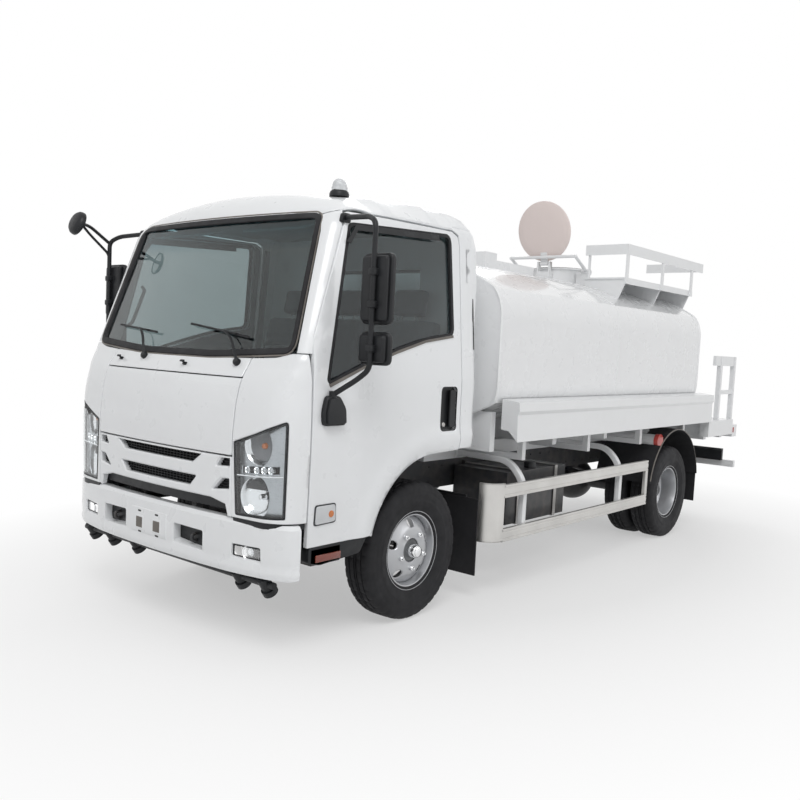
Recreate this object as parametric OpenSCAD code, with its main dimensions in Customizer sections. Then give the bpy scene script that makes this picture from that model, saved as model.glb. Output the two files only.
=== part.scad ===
// Light cab-over water tanker truck, built from separate named pieces.
// +X points forward, +Y to the left and +Z up. The origin is on the ground,
// under the middle of the truck's overall length and width.

/* [Overall sizes] */
// Distance between the front and rear axles
wheelbase = 3360; // [3250:10:4100]
// Bumper face ahead of the front axle
front_overhang = 1118; // [1110:1:1140]
// End of the body behind the rear axle
rear_overhang = 1520; // [1450:10:1900]
// Width of the cab at its widest
cab_width = 1830; // [1740:10:2220]
// Width over the side boxes and side guards
body_width = 1930; // [1880:10:2320]
// Height of the crown of the cab roof
roof_height = 2350; // [2300:10:2820]

/* [Cab] */
// Thickness of the cab walls, doors and roof
cab_wall = 45; // [36:1:54]
// Thickness of the glass
glass_thickness = 6; // [5:0.5:8]
// Gap all round a door
door_gap = 8; // [6.5:0.5:10]
// Thickness of the cab floor plates
floor_thickness = 40; // [30:1:48]
// Radius of the pin that the cab tilts on
cab_pin_radius = 12; // [10:0.5:14.5]
// Radius of the steering wheel
steering_wheel_radius = 215; // [180:5:258]

/* [Tank] */
// Width of the tank
tank_width = 1670; // [1390:10:1900]
// Height of the tank's crown above the ground
tank_top = 2120; // [2060:10:2300]
// Bottom of the tank above the ground
tank_bottom = 1000; // [985:5:1100]
// Radius of the manhole opening
manhole_radius = 215; // [180:5:260]
// Depth of the manhole well
well_depth = 900; // [750:10:1000]

/* [Chassis] */
// Distance over the outer faces of the frame rails
frame_width = 760; // [700:10:790]
// Height of a frame rail
rail_height = 180; // [150:5:200]
// Thickness of a frame rail's web
rail_thickness = 8; // [6:0.5:10]
// Radius of the king pins
king_pin_radius = 20; // [16:1:24]

/* [Wheels] */
// Outer radius of a tyre
tyre_radius = 387; // [375:1:400]
// Width of a tyre
tyre_width = 200; // [180:5:210]
// Radius of the bead seat on a rim
rim_radius = 203; // [190:1:215]
// Distance between the middles of the front tyres
front_track = 1504; // [1480:2:1540]
// Distance between the middles of the rear twin wheels
rear_track = 1425; // [1410:5:1460]
// Distance between the two tyres of a twin wheel
twin_spacing = 229; // [225:1:250]
// Radius of a wheel's bearing spindle
spindle_radius = 30; // [25:1:36]

/* [Hidden] */
$fn = 48;

// Running clearance of a pin or spindle in its bore
pin_clearance = 0.05;
// Least gap between pieces that move past each other
moving_gap = 6;

overall_length = front_overhang + wheelbase + rear_overhang;
front_axle_x = overall_length / 2 - front_overhang;
rear_axle_x = front_axle_x - wheelbase;
rear_end_x = -overall_length / 2;
half_cab = cab_width / 2;
half_body = body_width / 2;
half_frame = frame_width / 2;
half_tank = tank_width / 2;
axle_height = tyre_radius;

// Heights of the chassis
rail_bottom = 600;
rail_top = rail_bottom + rail_height;
sill_top = 880;
rear_guard_radius = 505;
guard_rise = 35;
guard_arm_x = rear_guard_radius - 48;

// Places along the truck
tank_front_x = front_axle_x - 760;
tank_rear_x = rear_axle_x - 660;
manhole_x = tank_rear_x + 1120;

module at_front_axle() {
    translate([front_axle_x, 0, 0])
    children();
}

// Repeats its children on the left and on the right
module both_sides() {
    children();
    mirror([0, 1, 0])
    children();
}

// A cylinder along Y, from y0 to y1
module rod_y(r, y0, y1) {
    translate([0, y0, 0])
    rotate([-90, 0, 0])
    cylinder(r = r, h = y1 - y0);
}

// A cylinder along X, from x0 to x1
module rod_x(r, x0, x1) {
    translate([x0, 0, 0])
    rotate([0, 90, 0])
    cylinder(r = r, h = x1 - x0);
}

// Extrudes an outline drawn in (x, z) along Y, from y0 to y1
module side_extrude(y0, y1) {
    translate([0, y1, 0])
    rotate([90, 0, 0])
    linear_extrude(height = y1 - y0)
    children();
}

// Extrudes an outline drawn in (y, z) along X, from x0 to x1
module front_extrude(x0, x1) {
    translate([x0, 0, 0])
    rotate([90, 0, 90])
    linear_extrude(height = x1 - x0)
    children();
}

// A box given by two opposite corners
module block(low, high) {
    translate(low)
    cube([high[0] - low[0], high[1] - low[1], high[2] - low[2]]);
}

// A ball at each bend of a bar is this much fatter than the bar
bend_ball = 1.15;

// A round bar that follows a list of points, with a ball at each bend
module bent_bar(points, r) {
    for (i = [0 : len(points) - 2])
        bar_between(points[i], points[i + 1], r);
    for (i = [1 : len(points) - 2])
        translate(points[i])
        sphere(r = r * bend_ball);
}

// A round bar from point a to point b
module bar_between(a, b, r) {
    d = b - a;
    length = norm(d);
    translate(a)
    rotate([0, acos(d[2] / length), atan2(d[1], d[0])])
    cylinder(r = r, h = length);
}

// ---------------------------------------------------------------- chassis

module rail() {
    block([rear_end_x + 180, half_frame - rail_thickness, rail_bottom],
        [front_axle_x + 980, half_frame, rail_top]);
    for (z = [rail_bottom, rail_top - rail_thickness])
        block([rear_end_x + 180, half_frame - 60, z], [front_axle_x + 980, half_frame, z + rail_thickness]);
}

// Ear pair that carries the cab's tilting pin
tilt_x = front_axle_x + 1030;
tilt_z = 745;
tilt_y = 330;
tilt_ear = 8;
tilt_arm = 40;
module tilt_ears() {
    for (y = [tilt_y - tilt_arm / 2 - moving_gap - tilt_ear, tilt_y + tilt_arm / 2 + moving_gap])
        tilt_ear_plate(y);
    translate([tilt_x, 0, tilt_z])
    rod_y(cab_pin_radius, tilt_y - tilt_arm / 2 - moving_gap - tilt_ear,
        tilt_y + tilt_arm / 2 + moving_gap + tilt_ear);
}

module tilt_ear_plate(y) {
    translate([tilt_x, 0, tilt_z])
    rod_y(22, y, y + tilt_ear);
    block([tilt_x - 60, y, tilt_z - 22], [tilt_x, y + tilt_ear, tilt_z + 22]);
}

module frame_rails() {
    color("#2b2c2e")
    both_sides() {
        rail();
        tilt_ears();
        block([tilt_x - 60, half_frame - 92, rail_bottom], [tilt_x - 46, half_frame, rail_top]);
        // Hangers over the ends of the leaf springs
        spring_hangers(front_axle_x, front_spring_half, front_spring_z);
        spring_hangers(rear_axle_x, rear_spring_half, rear_spring_z);
    }
}

module spring_hangers(axle_x, spring_half, spring_z) {
    for (x = [axle_x - spring_half, axle_x + spring_half])
        block([x - 25, half_frame - 50, spring_z + leaf_rise(spring_half) + 4 * leaf_thickness],
            [x + 25, half_frame - 6, rail_bottom]);
}

module cross_members() {
    color("#2b2c2e")
    for (x = [front_axle_x + 900, front_axle_x - 810, (front_axle_x + rear_axle_x) / 2,
            rear_axle_x + 640, rear_axle_x - 560, rear_end_x + 220])
        block([x - 30, -half_frame + rail_thickness, rail_bottom + 80],
            [x + 30, half_frame - rail_thickness, rail_top - 30]);
}

// Rear face and middle height of the gearbox, and how far the rear axle's pinion housing comes forward
gearbox_rear_x = front_axle_x - 690;
gearbox_z = 640;
pinion_reach = 235;
module engine_block() {
    color("#5b5e60") {
        block([front_axle_x - 350, -290, 480], [front_axle_x + 415, 290, 970]);
        translate([0, 0, gearbox_z])
        rod_x(150, gearbox_rear_x, front_axle_x - 350);
    }
}

module propeller_shaft() {
    shaft_front = [gearbox_rear_x + 10, 0, gearbox_z];
    shaft_rear = [rear_axle_x + pinion_reach - 10, 0, axle_height + 20];
    color("#3a3c3e")
    intersection() {
        bar_between(shaft_front, shaft_rear, 42);
        block([rear_axle_x + pinion_reach, -60, axle_height - 60], [gearbox_rear_x, 60, gearbox_z + 60]);
    }
}

// King pin line and its clearances
king_pin_y = 650;
eye_half = 50;
ear_height = 36;
module front_axle() {
    color("#2f3133") {
        block([front_axle_x - 45, -520, axle_height - 97], [front_axle_x + 45, 520, axle_height - 17]);
        both_sides() {
            block([front_axle_x - 40, 500, axle_height - eye_half],
                [front_axle_x + 40, king_pin_y, axle_height + 20]);
            translate([front_axle_x, king_pin_y, axle_height - eye_half])
            cylinder(r = 44, h = 2 * eye_half);
            translate([front_axle_x, king_pin_y, axle_height - eye_half - ear_height - moving_gap])
            cylinder(r = king_pin_radius, h = 2 * (eye_half + ear_height + moving_gap));
        }
    }
}

// How far the wheel spindle reaches out
spindle_length = 150;
module knuckle() {
    ear_low = axle_height - eye_half - moving_gap - ear_height;
    difference() {
        union() {
            for (z = [ear_low, axle_height + eye_half + moving_gap])
                translate([front_axle_x, king_pin_y, z])
                cylinder(r = 44, h = ear_height);
            block([front_axle_x - 38, king_pin_y + 44 + moving_gap, ear_low],
                [front_axle_x + 38, king_pin_y + 44 + moving_gap + 22, axle_height + eye_half + moving_gap
                    + ear_height]);
            for (z = [ear_low, axle_height + eye_half + moving_gap])
                block([front_axle_x - 38, king_pin_y, z],
                    [front_axle_x + 38, king_pin_y + 44 + moving_gap + 22, z + ear_height]);
            translate([front_axle_x, 0, axle_height])
            rod_y(spindle_radius, king_pin_y + 60, king_pin_y + 72 + spindle_length);
        }
        translate([front_axle_x, king_pin_y, ear_low - 1])
        cylinder(r = king_pin_radius + pin_clearance, h = 2 * (ear_height + eye_half + moving_gap) + 2);
    }
}

module left_knuckle() {
    color("#3a3c3e")
    knuckle();
}

module right_knuckle() {
    color("#3a3c3e")
    mirror([0, 1, 0])
    knuckle();
}

// Twin wheel middle and the hub line of the rear axle
rear_hub_y = rear_track / 2;
rear_spindle_radius = spindle_radius + 8;
rear_tube_radius = 62;
module rear_axle() {
    color("#2f3133")
    translate([rear_axle_x, 0, axle_height]) {
        sphere(r = 190, $fn = 40);
        translate([0, 0, 20])
        rod_x(70, 0, pinion_reach);
        rod_y(rear_tube_radius, -rear_hub_y + 150, rear_hub_y - 150);
        both_sides()
        rod_y(rear_spindle_radius, 0, rear_hub_y + 60);
    }
}

// Height of a leaf's underside above its lowest point, at x from the axle
spring_arc = 2400;
function leaf_rise(x) = spring_arc - sqrt(spring_arc * spring_arc - x * x);

// A pack of four bent leaves, stepped shorter downwards; the longest ends half_length from the axle
leaf_thickness = 12;
spring_half_width = 22;
front_spring_half = 575;
rear_spring_half = 640;
front_spring_z = axle_height - 17;
rear_spring_z = axle_height + rear_tube_radius;
function pack_under(x, step) = leaf_rise(x) + step * leaf_thickness;
function pack_side(half_length) = [for (step = [0 : 3], k = [0 : 1])
    let (x = half_length * (0.4 + 0.2 * (step - 1 + k)))
    if (step > 0 || k > 0) [x, pack_under(x, step)]];
module spring_pack(x, half_length, low_z) {
    spring_y = half_frame - 26;
    under = concat([[0, 0]], pack_side(half_length));
    last = len(under) - 1;
    translate([x, 0, low_z])
    side_extrude(spring_y - spring_half_width, spring_y + spring_half_width)
    polygon(concat(under,
        [for (k = [5 : -1 : -5]) [k * half_length / 5, pack_under(k * half_length / 5, 4)]],
        [for (k = [last : -1 : 1]) [-under[k][0], under[k][1]]]));
}

module leaf_springs() {
    color("#303234")
    both_sides() {
        spring_pack(front_axle_x, front_spring_half, front_spring_z);
        spring_pack(rear_axle_x, rear_spring_half, rear_spring_z);
        // Clamps over the axles
        block([front_axle_x - 50, half_frame - 50, front_spring_z],
            [front_axle_x + 50, half_frame - 2, axle_height + 40]);
        difference() {
            block([rear_axle_x - 60, half_frame - 50, axle_height + 30],
                [rear_axle_x + 60, half_frame - 2, axle_height + 120]);
            translate([rear_axle_x, 0, axle_height])
            rod_y(rear_tube_radius, 0, half_frame);
        }
    }
}

// ---------------------------------------------------------------- front bumper

bumper_top = 664;
bumper_bottom = 400;
bumper_side = half_cab + 17;
bumper_end = 893;
// Half outline of the bumper seen from above, from the middle to the side
function bumper_half(inset) = [
    [front_overhang - inset, 0], [front_overhang - 8 - inset, 380], [front_overhang - 43 - inset, 700],
    [front_overhang - 93 - inset, bumper_side - 52 - inset],
    [front_overhang - 138, bumper_side - 10 - inset],
    [front_overhang - 188, bumper_side - inset], [bumper_end, bumper_side - inset]];
module bumper_outline(inset) {
    polygon(concat(bumper_half(inset), [[700, bumper_side - inset], [700, 0]]));
}

module front_bumper() {
    color("#eef0ef")
    at_front_axle()
    both_sides()
    difference() {
        translate([0, 0, bumper_bottom])
        linear_extrude(height = bumper_top - bumper_bottom)
        difference() {
            bumper_outline(0);
            bumper_outline(14);
            translate([0, -10])
            square([bumper_end, 1200]);
        }
        block([1040, 214, 475], [1200, 389, 568]);
        translate([1000, 699, 519])
        rod_x(48, 0, 200);
    }
    color("#2b2c2e")
    at_front_axle()
    both_sides()
    block([984, half_frame - 60, 612], [1106, half_frame, 660]);
}

// Water nozzles on a cross pipe below the bumper
spray_y = [-760, -560, -320, 570, 760];
module spray_bar() {
    color("#26282a")
    at_front_axle()
    translate([1010, 0, 372]) {
        rod_y(17, -820, 820);
        for (y = spray_y)
            translate([0, y, 0])
            rotate([0, 35, 0]) {
                cylinder(r = 30, h = 70, center = true);
                translate([0, 0, -60])
                cylinder(r = 38, h = 30);
            }
        both_sides()
        block([-12, 560, 0], [12, 580, 60]);
    }
    color("#26282a")
    at_front_axle()
    both_sides()
    block([998, 560, 425], [1064, 580, 445]);
}

// ---------------------------------------------------------------- tank

// Outline of the tank in (y, z): flat sides, rounded corners and a crowned top
tank_shoulder = 300;
tank_crown = 2 * half_tank;
module tank_outline() {
    middle = (tank_top + tank_bottom) / 2;
    intersection() {
        translate([0, tank_top - tank_crown * 0.88])
        circle(r = tank_crown * 0.88, $fn = 360);
        translate([0, tank_bottom + tank_crown * 1.1])
        circle(r = tank_crown * 1.1, $fn = 360);
        union() {
            translate([-half_tank, tank_bottom + tank_shoulder])
            square([2 * half_tank, tank_top - tank_bottom - 2 * tank_shoulder - 100]);
            for (s = [-1, 1], z = [tank_bottom + tank_shoulder, tank_top - tank_shoulder - 100])
                translate([s * (half_tank - tank_shoulder), z])
                circle(r = tank_shoulder, $fn = 180);
            translate([-half_tank + tank_shoulder, tank_bottom - 50])
            square([2 * (half_tank - tank_shoulder), tank_top - tank_bottom + 100]);
            translate([-half_tank + tank_shoulder * 0.4, tank_bottom + tank_shoulder])
            square([2 * half_tank - tank_shoulder * 0.8, tank_top - tank_bottom - 2 * tank_shoulder - 100]);
        }
    }
}

head_depth = 90;
module tank() {
    color("#f3f4f4")
    difference() {
        union() {
            front_extrude(tank_rear_x, tank_front_x)
            tank_outline();
            tank_head(tank_front_x, 1);
            tank_head(tank_rear_x, -1);
            // Cable duct along the crown and its end box
            block([hinge_x + 240, -45, tank_top - 30], [front_axle_x - 1829, 45, tank_top + 78]);
            block([front_axle_x - 1829, -60, tank_top - 30], [front_axle_x - 1674, 60, tank_top + 128]);
        }
        translate([manhole_x, 0, tank_top - well_depth])
        cylinder(r = manhole_radius, h = well_depth + 200, $fn = 96);
    }
}

// Dished end: the tank outline cut by a large ball
module tank_head(x, direction) {
    ball = 4200;
    intersection() {
        front_extrude(x - (direction < 0 ? head_depth : 0), x + (direction > 0 ? head_depth : 0))
        tank_outline();
        translate([x + direction * (head_depth - ball), 0, (tank_top + tank_bottom) / 2])
        sphere(r = ball, $fn = 400);
    }
}

// Manhole neck, with the lid's hinge post at its front and the bail that guards the lid
neck_top = tank_top + 108;
neck_wall = 12;
lid_radius = manhole_radius + 30;
lid_thickness = 16;
lid_open_angle = 102;
hinge_x = manhole_x + lid_radius + 17;
hinge_z = neck_top + 30;
hinge_pin_radius = 9;
bail_half = 305;
// Cuts what reaches down into the tank's shell
module shell_below() {
    front_extrude(tank_rear_x, tank_front_x)
    tank_outline();
}

module manhole_neck() {
    color("#eceeee") {
        difference() {
            translate([manhole_x, 0, tank_top - 40])
            cylinder(r = manhole_radius + neck_wall, h = neck_top - tank_top + 40, $fn = 96);
            translate([manhole_x, 0, tank_top - 41])
            cylinder(r = manhole_radius, h = neck_top - tank_top + 50, $fn = 96);
            shell_below();
        }
        // Hinge post: two cheeks joined below the lid's arm
        for (y = [-60, 46])
            block([hinge_x - 20, y, tank_top], [hinge_x + 20, y + 14, hinge_z + 14]);
        block([hinge_x - 20, -60, tank_top], [hinge_x + 20, 60, neck_top - 40]);
        block([manhole_x + manhole_radius + neck_wall - 4, -60, tank_top],
            [hinge_x - 18, 60, neck_top - 40]);
        translate([hinge_x, 0, hinge_z])
        rod_y(hinge_pin_radius, -60, 60);
        // Bail on two knuckles beside the neck
        both_sides() {
            difference() {
                block([manhole_x + 70, manhole_radius + 2, tank_top - 30], [manhole_x + 110, bail_half + 20,
                    tank_top + 70]);
                shell_below();
            }
            translate([manhole_x + 90, 0, tank_top + 75])
            rod_y(26, bail_half - 40, bail_half + 30);
        }
        bent_bar([[manhole_x + 90, -bail_half, tank_top + 75], [hinge_x + 42, -bail_half, tank_top + 185],
            [hinge_x + 42, bail_half, tank_top + 185], [manhole_x + 90, bail_half, tank_top + 75]], 13);
    }
}

// The lid is drawn closed and then swung up past upright about its hinge
module manhole_lid() {
    color("#ead9d6")
    translate([hinge_x, 0, hinge_z])
    difference() {
        rotate([0, lid_open_angle, 0]) {
            difference() {
                translate([manhole_x - hinge_x, 0, -25])
                cylinder(r = lid_radius, h = lid_thickness, $fn = 96);
                translate([manhole_x - hinge_x, 0, -26])
                cylinder(r = lid_radius - 20, h = 9, $fn = 96);
            }
            rod_y(18, -38, 38);
            block([-90, -30, -10], [0, 30, 12]);
        }
        rod_y(hinge_pin_radius + pin_clearance, -70, 70);
    }
}

// Longitudinal sills on the frame rails, with room for the cross pipe
module tank_sills() {
    color("#dfe1e1")
    both_sides()
    difference() {
        block([tank_rear_x - 50, half_frame - 70, rail_top], [tank_front_x + 120, half_frame, sill_top]);
        translate([pipe_x, 0, pipe_z])
        rod_y(52, 0, half_frame + 10);
    }
}

// Cross bearers that cradle the tank
bearer_count = 5;
module tank_bearers() {
    color("#dfe1e1")
    for (i = [0 : bearer_count - 1]) {
        x = tank_front_x - 60 + i * (tank_rear_x - tank_front_x + 120) / (bearer_count - 1);
        difference() {
            block([x - 25, -half_tank + 60, sill_top], [x + 25, half_tank - 60, tank_bottom + 130]);
            front_extrude(x - 60, x + 60)
            tank_outline();
            // Room for the mudguards
            both_sides()
            translate([rear_axle_x, 0, axle_height + guard_rise])
            rod_y(rear_guard_radius, half_frame + 90, half_tank);
        }
    }
}

// ---------------------------------------------------------------- body work

module side_box_outline() {
    polygon([[half_body - 158, 1219], [half_body - 6, 1204], [half_body, 1147], [half_body - 13, 1125],
        [half_body - 8, 958], [half_body - 74, 1021], [half_body - 178, 1032]]);
}

module side_boxes() {
    color("#f1f2f2") {
        both_sides()
        difference() {
            front_extrude(tank_rear_x - 116, tank_front_x - 60)
            side_box_outline();
            front_extrude(tank_rear_x - 20, tank_front_x)
            tank_outline();
            front_extrude(tank_rear_x - 200, tank_front_x)
            translate([0, 1000])
            square([half_tank, 600]);
        }
        // Outriggers from the sills to the boxes
        both_sides()
        for (i = [0 : 3]) {
            x = tank_front_x - 300 - i * (tank_front_x - tank_rear_x - 600) / 3;
            block([x - 20, half_frame, rail_top + 40], [x + 20, half_body - 100, rail_top + 80]);
            block([x - 20, half_body - 140, rail_top + 40], [x + 20, half_body - 100, 1032]);
        }
    }
}

// Walkway on the left of the tank's top, with its low rails
deck_front_x = manhole_x + 205;
deck_rear_x = tank_rear_x - 85;
deck_inner_y = 285;
deck_outer_y = 700;
deck_z = 2140;
deck_rail_top = 2400;
module top_deck() {
    post_x = [deck_front_x - 20, (deck_front_x + deck_rear_x) / 2, deck_rear_x + 60];
    color("#e3e5e6") {
        difference() {
            block([deck_rear_x, deck_inner_y, deck_z - 12], [deck_front_x, deck_outer_y, deck_z]);
            front_extrude(tank_rear_x - 100, tank_front_x)
            tank_outline();
            block([manhole_x + 50, 0, deck_z - 20], [deck_front_x + 10, bail_half + 45, deck_z + 10]);
        }
        block([deck_rear_x, deck_outer_y - 6, deck_z - 50], [deck_front_x, deck_outer_y, deck_z]);
        for (x = post_x) {
            // Triangular brackets down to the shell
            difference() {
                side_bracket(x);
                front_extrude(x - 60, x + 60)
                tank_outline();
            }
            block([x - 20, deck_outer_y, deck_z - 50], [x + 20, deck_outer_y + 12, deck_rail_top - 40]);
        }
        // Flat rails: along the left side, and across at the front and at the rear
        block([deck_rear_x - 185, deck_outer_y, deck_rail_top - 80],
            [deck_front_x, deck_outer_y + 14, deck_rail_top]);
        block([deck_front_x - 14, bail_half + 40, deck_rail_top - 80],
            [deck_front_x, deck_outer_y, deck_rail_top]);
        block([deck_rear_x - 100, deck_inner_y - 80, deck_rail_top - 80],
            [deck_rear_x - 86, deck_outer_y, deck_rail_top]);
        block([deck_front_x - 40, bail_half + 60, deck_z - 12],
            [deck_front_x - 14, bail_half + 72, deck_rail_top]);
    }
}

module side_bracket(x) {
    front_extrude(x - 5, x + 5)
    polygon([[deck_inner_y + 60, deck_z - 12], [deck_outer_y - 6, deck_z - 12],
        [deck_outer_y - 6, deck_z - 50],
        [deck_outer_y - 90, deck_z - 250], [deck_inner_y + 60, deck_z - 200]]);
}

// ---------------------------------------------------------------- rear platform

platform_z = 960;
module rear_platform() {
    color("#eef0f0") {
        // Side beams, cross beam at the rear, and the walking surface
        both_sides()
        block([rear_end_x + 120, half_body - 105, 816], [tank_rear_x - 104, half_body - 25, platform_z]);
        block([rear_end_x, -half_body + 25, 789], [rear_end_x + 120, half_body - 25, 906]);
        block([rear_end_x + 120, -half_body + 105, platform_z - 8],
            [tank_rear_x - 104, half_body - 105, platform_z]);
        for (x = [rear_end_x + 200, rear_axle_x - 900])
            block([x - 30, -half_body + 105, rail_top], [x + 30, half_body - 105, platform_z - 8]);
    }
}

rear_rail_top = 1560;
rear_rail_y = half_body - 84;
module rear_railing() {
    posts = [rear_end_x + 60, rear_end_x + 420];
    color("#eef0f0")
    both_sides() {
        for (x = posts) {
            low = x < rear_end_x + 120 ? 906 : platform_z;
            block([x - 20, rear_rail_y - 20, low], [x + 20, rear_rail_y + 20, rear_rail_top]);
        }
        block([posts[0] - 20, rear_rail_y - 14, rear_rail_top - 90],
            [posts[1] + 150, rear_rail_y + 14, rear_rail_top]);
        block([posts[0], rear_rail_y - 10, 1200], [posts[1], rear_rail_y + 10, 1240]);
    }
}

module tail_lamp_bar() {
    color("#202224")
    at_rear_end() {
        block([110, -865, 560], [140, 865, 650]);
        both_sides() {
            block([60, 560, 545], [110, 850, 660]);
            block([130, half_frame - 60, 600], [180, half_frame - 8, 700]);
        }
    }
}

module at_rear_end() {
    translate([rear_end_x, 0, 0])
    children();
}

module underrun_bar() {
    color("#eef0f0")
    at_rear_end() {
        block([0, -half_body + 15, 485], [50, half_body - 15, 548]);
        both_sides()
        block([50, half_frame - 60, 490], [90, half_frame - 20, 789]);
    }
}

// ---------------------------------------------------------------- side guards

guard_front_x = front_axle_x - 716;
guard_rear_x = rear_axle_x + 542;
guard_y = half_body - 12;
cover_radius = 110;
// Points of the cover's round front, from one angle to another in ten steps
function cover_arc(r, from, to) = [for (k = [0 : 10])
    [guard_front_x + 110 + r * cos(from + k * (to - from) / 10),
        guard_y - cover_radius + r * sin(from + k * (to - from) / 10)]];
module side_guards() {
    color("#c9c7c2")
    both_sides() {
        for (z = [347, 620])
            block([guard_rear_x, guard_y - 25, z], [guard_front_x, guard_y, z + 80]);
        block([guard_rear_x, guard_y - 25, 427], [guard_rear_x + 40, guard_y, 620]);
        // Upright rounded cover at the front end
        translate([0, 0, 353])
        linear_extrude(height = 358)
        polygon(concat([[guard_front_x - 6, guard_y - 8], [guard_front_x - 6, guard_y]],
            cover_arc(cover_radius, 90, 0), cover_arc(cover_radius - 8, 0, 90)));
    }
    color("#eef0f0")
    both_sides()
    for (x = [guard_front_x - 295, guard_rear_x + 425]) {
        bent_bar([[x, half_frame, 820], [x, half_body - 180, 820], [x, guard_y - 41, 690],
            [x, guard_y - 41, 338]], 20);
    }
}

// ---------------------------------------------------------------- mudguards

pipe_room = 62;
module mudguards() {
    color("#1f2123")
    both_sides() {
        // Half-round mudguards over the twin wheels
        difference() {
            translate([rear_axle_x, 0, axle_height + guard_rise])
            rod_y(rear_guard_radius, half_frame + 100, half_body - 5);
            translate([rear_axle_x, 0, axle_height + guard_rise])
            rod_y(rear_guard_radius - 10, half_frame + 99, half_body + 5);
            block([rear_axle_x - 700, 0, -200], [rear_axle_x + 700, half_body + 10, 510]);
            block([rear_axle_x - 700, 0, 800], [rear_axle_x + 700, half_frame + 10, 960]);
            // Room for the cross pipe
            translate([pipe_x, 0, pipe_z])
            rod_y(pipe_room, 0, half_body + 10);
        }
        block([rear_axle_x - rear_guard_radius - 4, half_frame + 120, 260],
            [rear_axle_x - rear_guard_radius + 4, half_body - 20, 520]);
        // Arms to the frame rails
        block([rear_axle_x - guard_arm_x, half_frame, 640],
            [rear_axle_x - guard_arm_x + 24, half_frame + 130, 680]);
        // Flaps behind the front wheels
        block([front_axle_x - 540, half_frame + 120, 160], [front_axle_x - 530, half_cab - 25, 625]);
        block([front_axle_x - 552, half_frame, 600], [front_axle_x - 540, half_cab - 120, 640]);
    }
}

// ---------------------------------------------------------------- frame equipment

module fuel_tank() {
    color("#2a2c2e") {
        block([front_axle_x - 1700, half_frame + 20, 400], [front_axle_x - 950, half_frame + 440, 740]);
        for (x = [front_axle_x - 1560, front_axle_x - 1090])
            block([x - 20, half_frame, 640], [x + 20, half_frame + 20, 760]);
    }
}

module battery_box() {
    color("#232527") {
        block([front_axle_x - 1500, -half_frame - 420, 430], [front_axle_x - 950, -half_frame - 20, 700]);
        for (x = [front_axle_x - 1400, front_axle_x - 1050])
            block([x - 20, -half_frame - 20, 620], [x + 20, -half_frame, 740]);
        for (z = [480, 620])
            translate([0, -half_frame - 150, z])
            rod_x(65, front_axle_x - 2200, front_axle_x - 1600);
        for (x = [front_axle_x - 2100, front_axle_x - 1700])
            block([x - 20, -half_frame - 150, 480], [x + 20, -half_frame, 620]);
    }
}

pipe_z = 836;
pipe_x = rear_axle_x + 275;
module water_pump() {
    color("#d5d7d8") {
        translate([pipe_x, 0, pipe_z])
        difference() {
            rod_y(50, -half_body + 75, half_body - 75);
            rod_y(38, -half_body + 30, -half_body + 175);
        }
    }
    color("#3d5a74") {
        translate([pipe_x, 0, 690])
        rod_x(100, -60, 230);
        block([pipe_x - 40, -60, 700], [pipe_x + 40, 60, pipe_z]);
    }
    color("#b4282c")
    translate([pipe_x, 0, pipe_z])
    rod_y(57, half_body - 75, half_body - 40);
}

module exhaust() {
    color("#6a6c6e") {
        translate([0, -200, 520])
        rod_x(95, front_axle_x - 1500, front_axle_x - 850);
        bent_bar([[front_axle_x - 1500, -200, 520], [front_axle_x - 1800, -200, 540],
            [rear_axle_x + 900, -200, 540]], 32);
        bent_bar([[front_axle_x - 850, -200, 520], [front_axle_x - 400, -200, 470]], 32);
        block([front_axle_x - 1200, -215, 600], [front_axle_x - 1160, -185, 640]);
        block([front_axle_x - 1200, -half_frame + 60, 610], [front_axle_x - 1160, -185, 640]);
    }
}

// ---------------------------------------------------------------- cab shell

sill_z = 548;
belt_z = 1330;
cowl_z = 1415;
shield_top_z = roof_height - 200;
panel_bottom = 725;
floor_z = 810;
raised_floor_z = 1000;
raised_floor_x = 430;
// Side outline of the cab in (x, z), drawn inside by inset
module cab_side(i) {
    polygon([[1112 - i, 500 + 0], [1114 - i, 1063], [1102 - i, 1200], [1072 - i * 0.95, 1329 - i * 0.3],
        [1032 - i, cowl_z - i * 0.5], [777 - i * 0.9, shield_top_z - i * 0.3],
        [752 - i * 0.7, roof_height - 145 - i * 0.7], [700 - i * 0.5, roof_height - 105 - i * 0.9],
        [590, roof_height - 68 - i], [338, roof_height - 25 - i],
        [0, roof_height - i], [-250, roof_height - i],
        [-345 + i * 0.4, roof_height - 25 - i * 0.9], [-405 + i * 0.8, roof_height - 85 - i * 0.6],
        [-425 + i, roof_height - 180], [-430 + i, 1300], [-430 + i, 500]]);
}

// Front outline of the cab in (y, z)
function cab_front_half(i) = [
    [half_cab - 10 - i, 500], [half_cab - i, 1000], [half_cab - i, belt_z],
    [half_cab - 68 - i, roof_height - 260], [half_cab - 92 - i * 0.9, roof_height - 190 - i * 0.2],
    [half_cab - 140 - i * 0.7, roof_height - 120 - i * 0.7],
    [half_cab - 215 - i * 0.4, roof_height - 70 - i * 0.9], [half_cab - 465, roof_height - 25 - i],
    [0, roof_height - i]];
module cab_front_outline(i) {
    half = cab_front_half(i);
    last = len(half) - 2;
    polygon(concat(half, [for (k = [last : -1 : 0]) [-half[k][0], half[k][1]]]));
}

// Plan of the cab in (x, y)
function cab_plan_half(i) = [
    [1114 - i, 0], [1106 - i, 350], [1078 - i, 640], [1040 - i * 0.8, half_cab - 125 - i * 0.6],
    [985 - i * 0.6, half_cab - 58 - i * 0.8], [916 - i * 0.3, half_cab - 23 - i],
    [860 - i * 0.1, half_cab - 10 - i], [700, half_cab - i], [-370, half_cab - i],
    [-415 + i * 0.6, half_cab - 18 - i * 0.8], [-430 + i, half_cab - 60 - i * 0.5], [-430 + i, 0]];
module cab_plan(i) {
    half = cab_plan_half(i);
    last = len(half) - 2;
    polygon(concat(half, [for (k = [last : -1 : 1]) [half[k][0], -half[k][1]]]));
}

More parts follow.
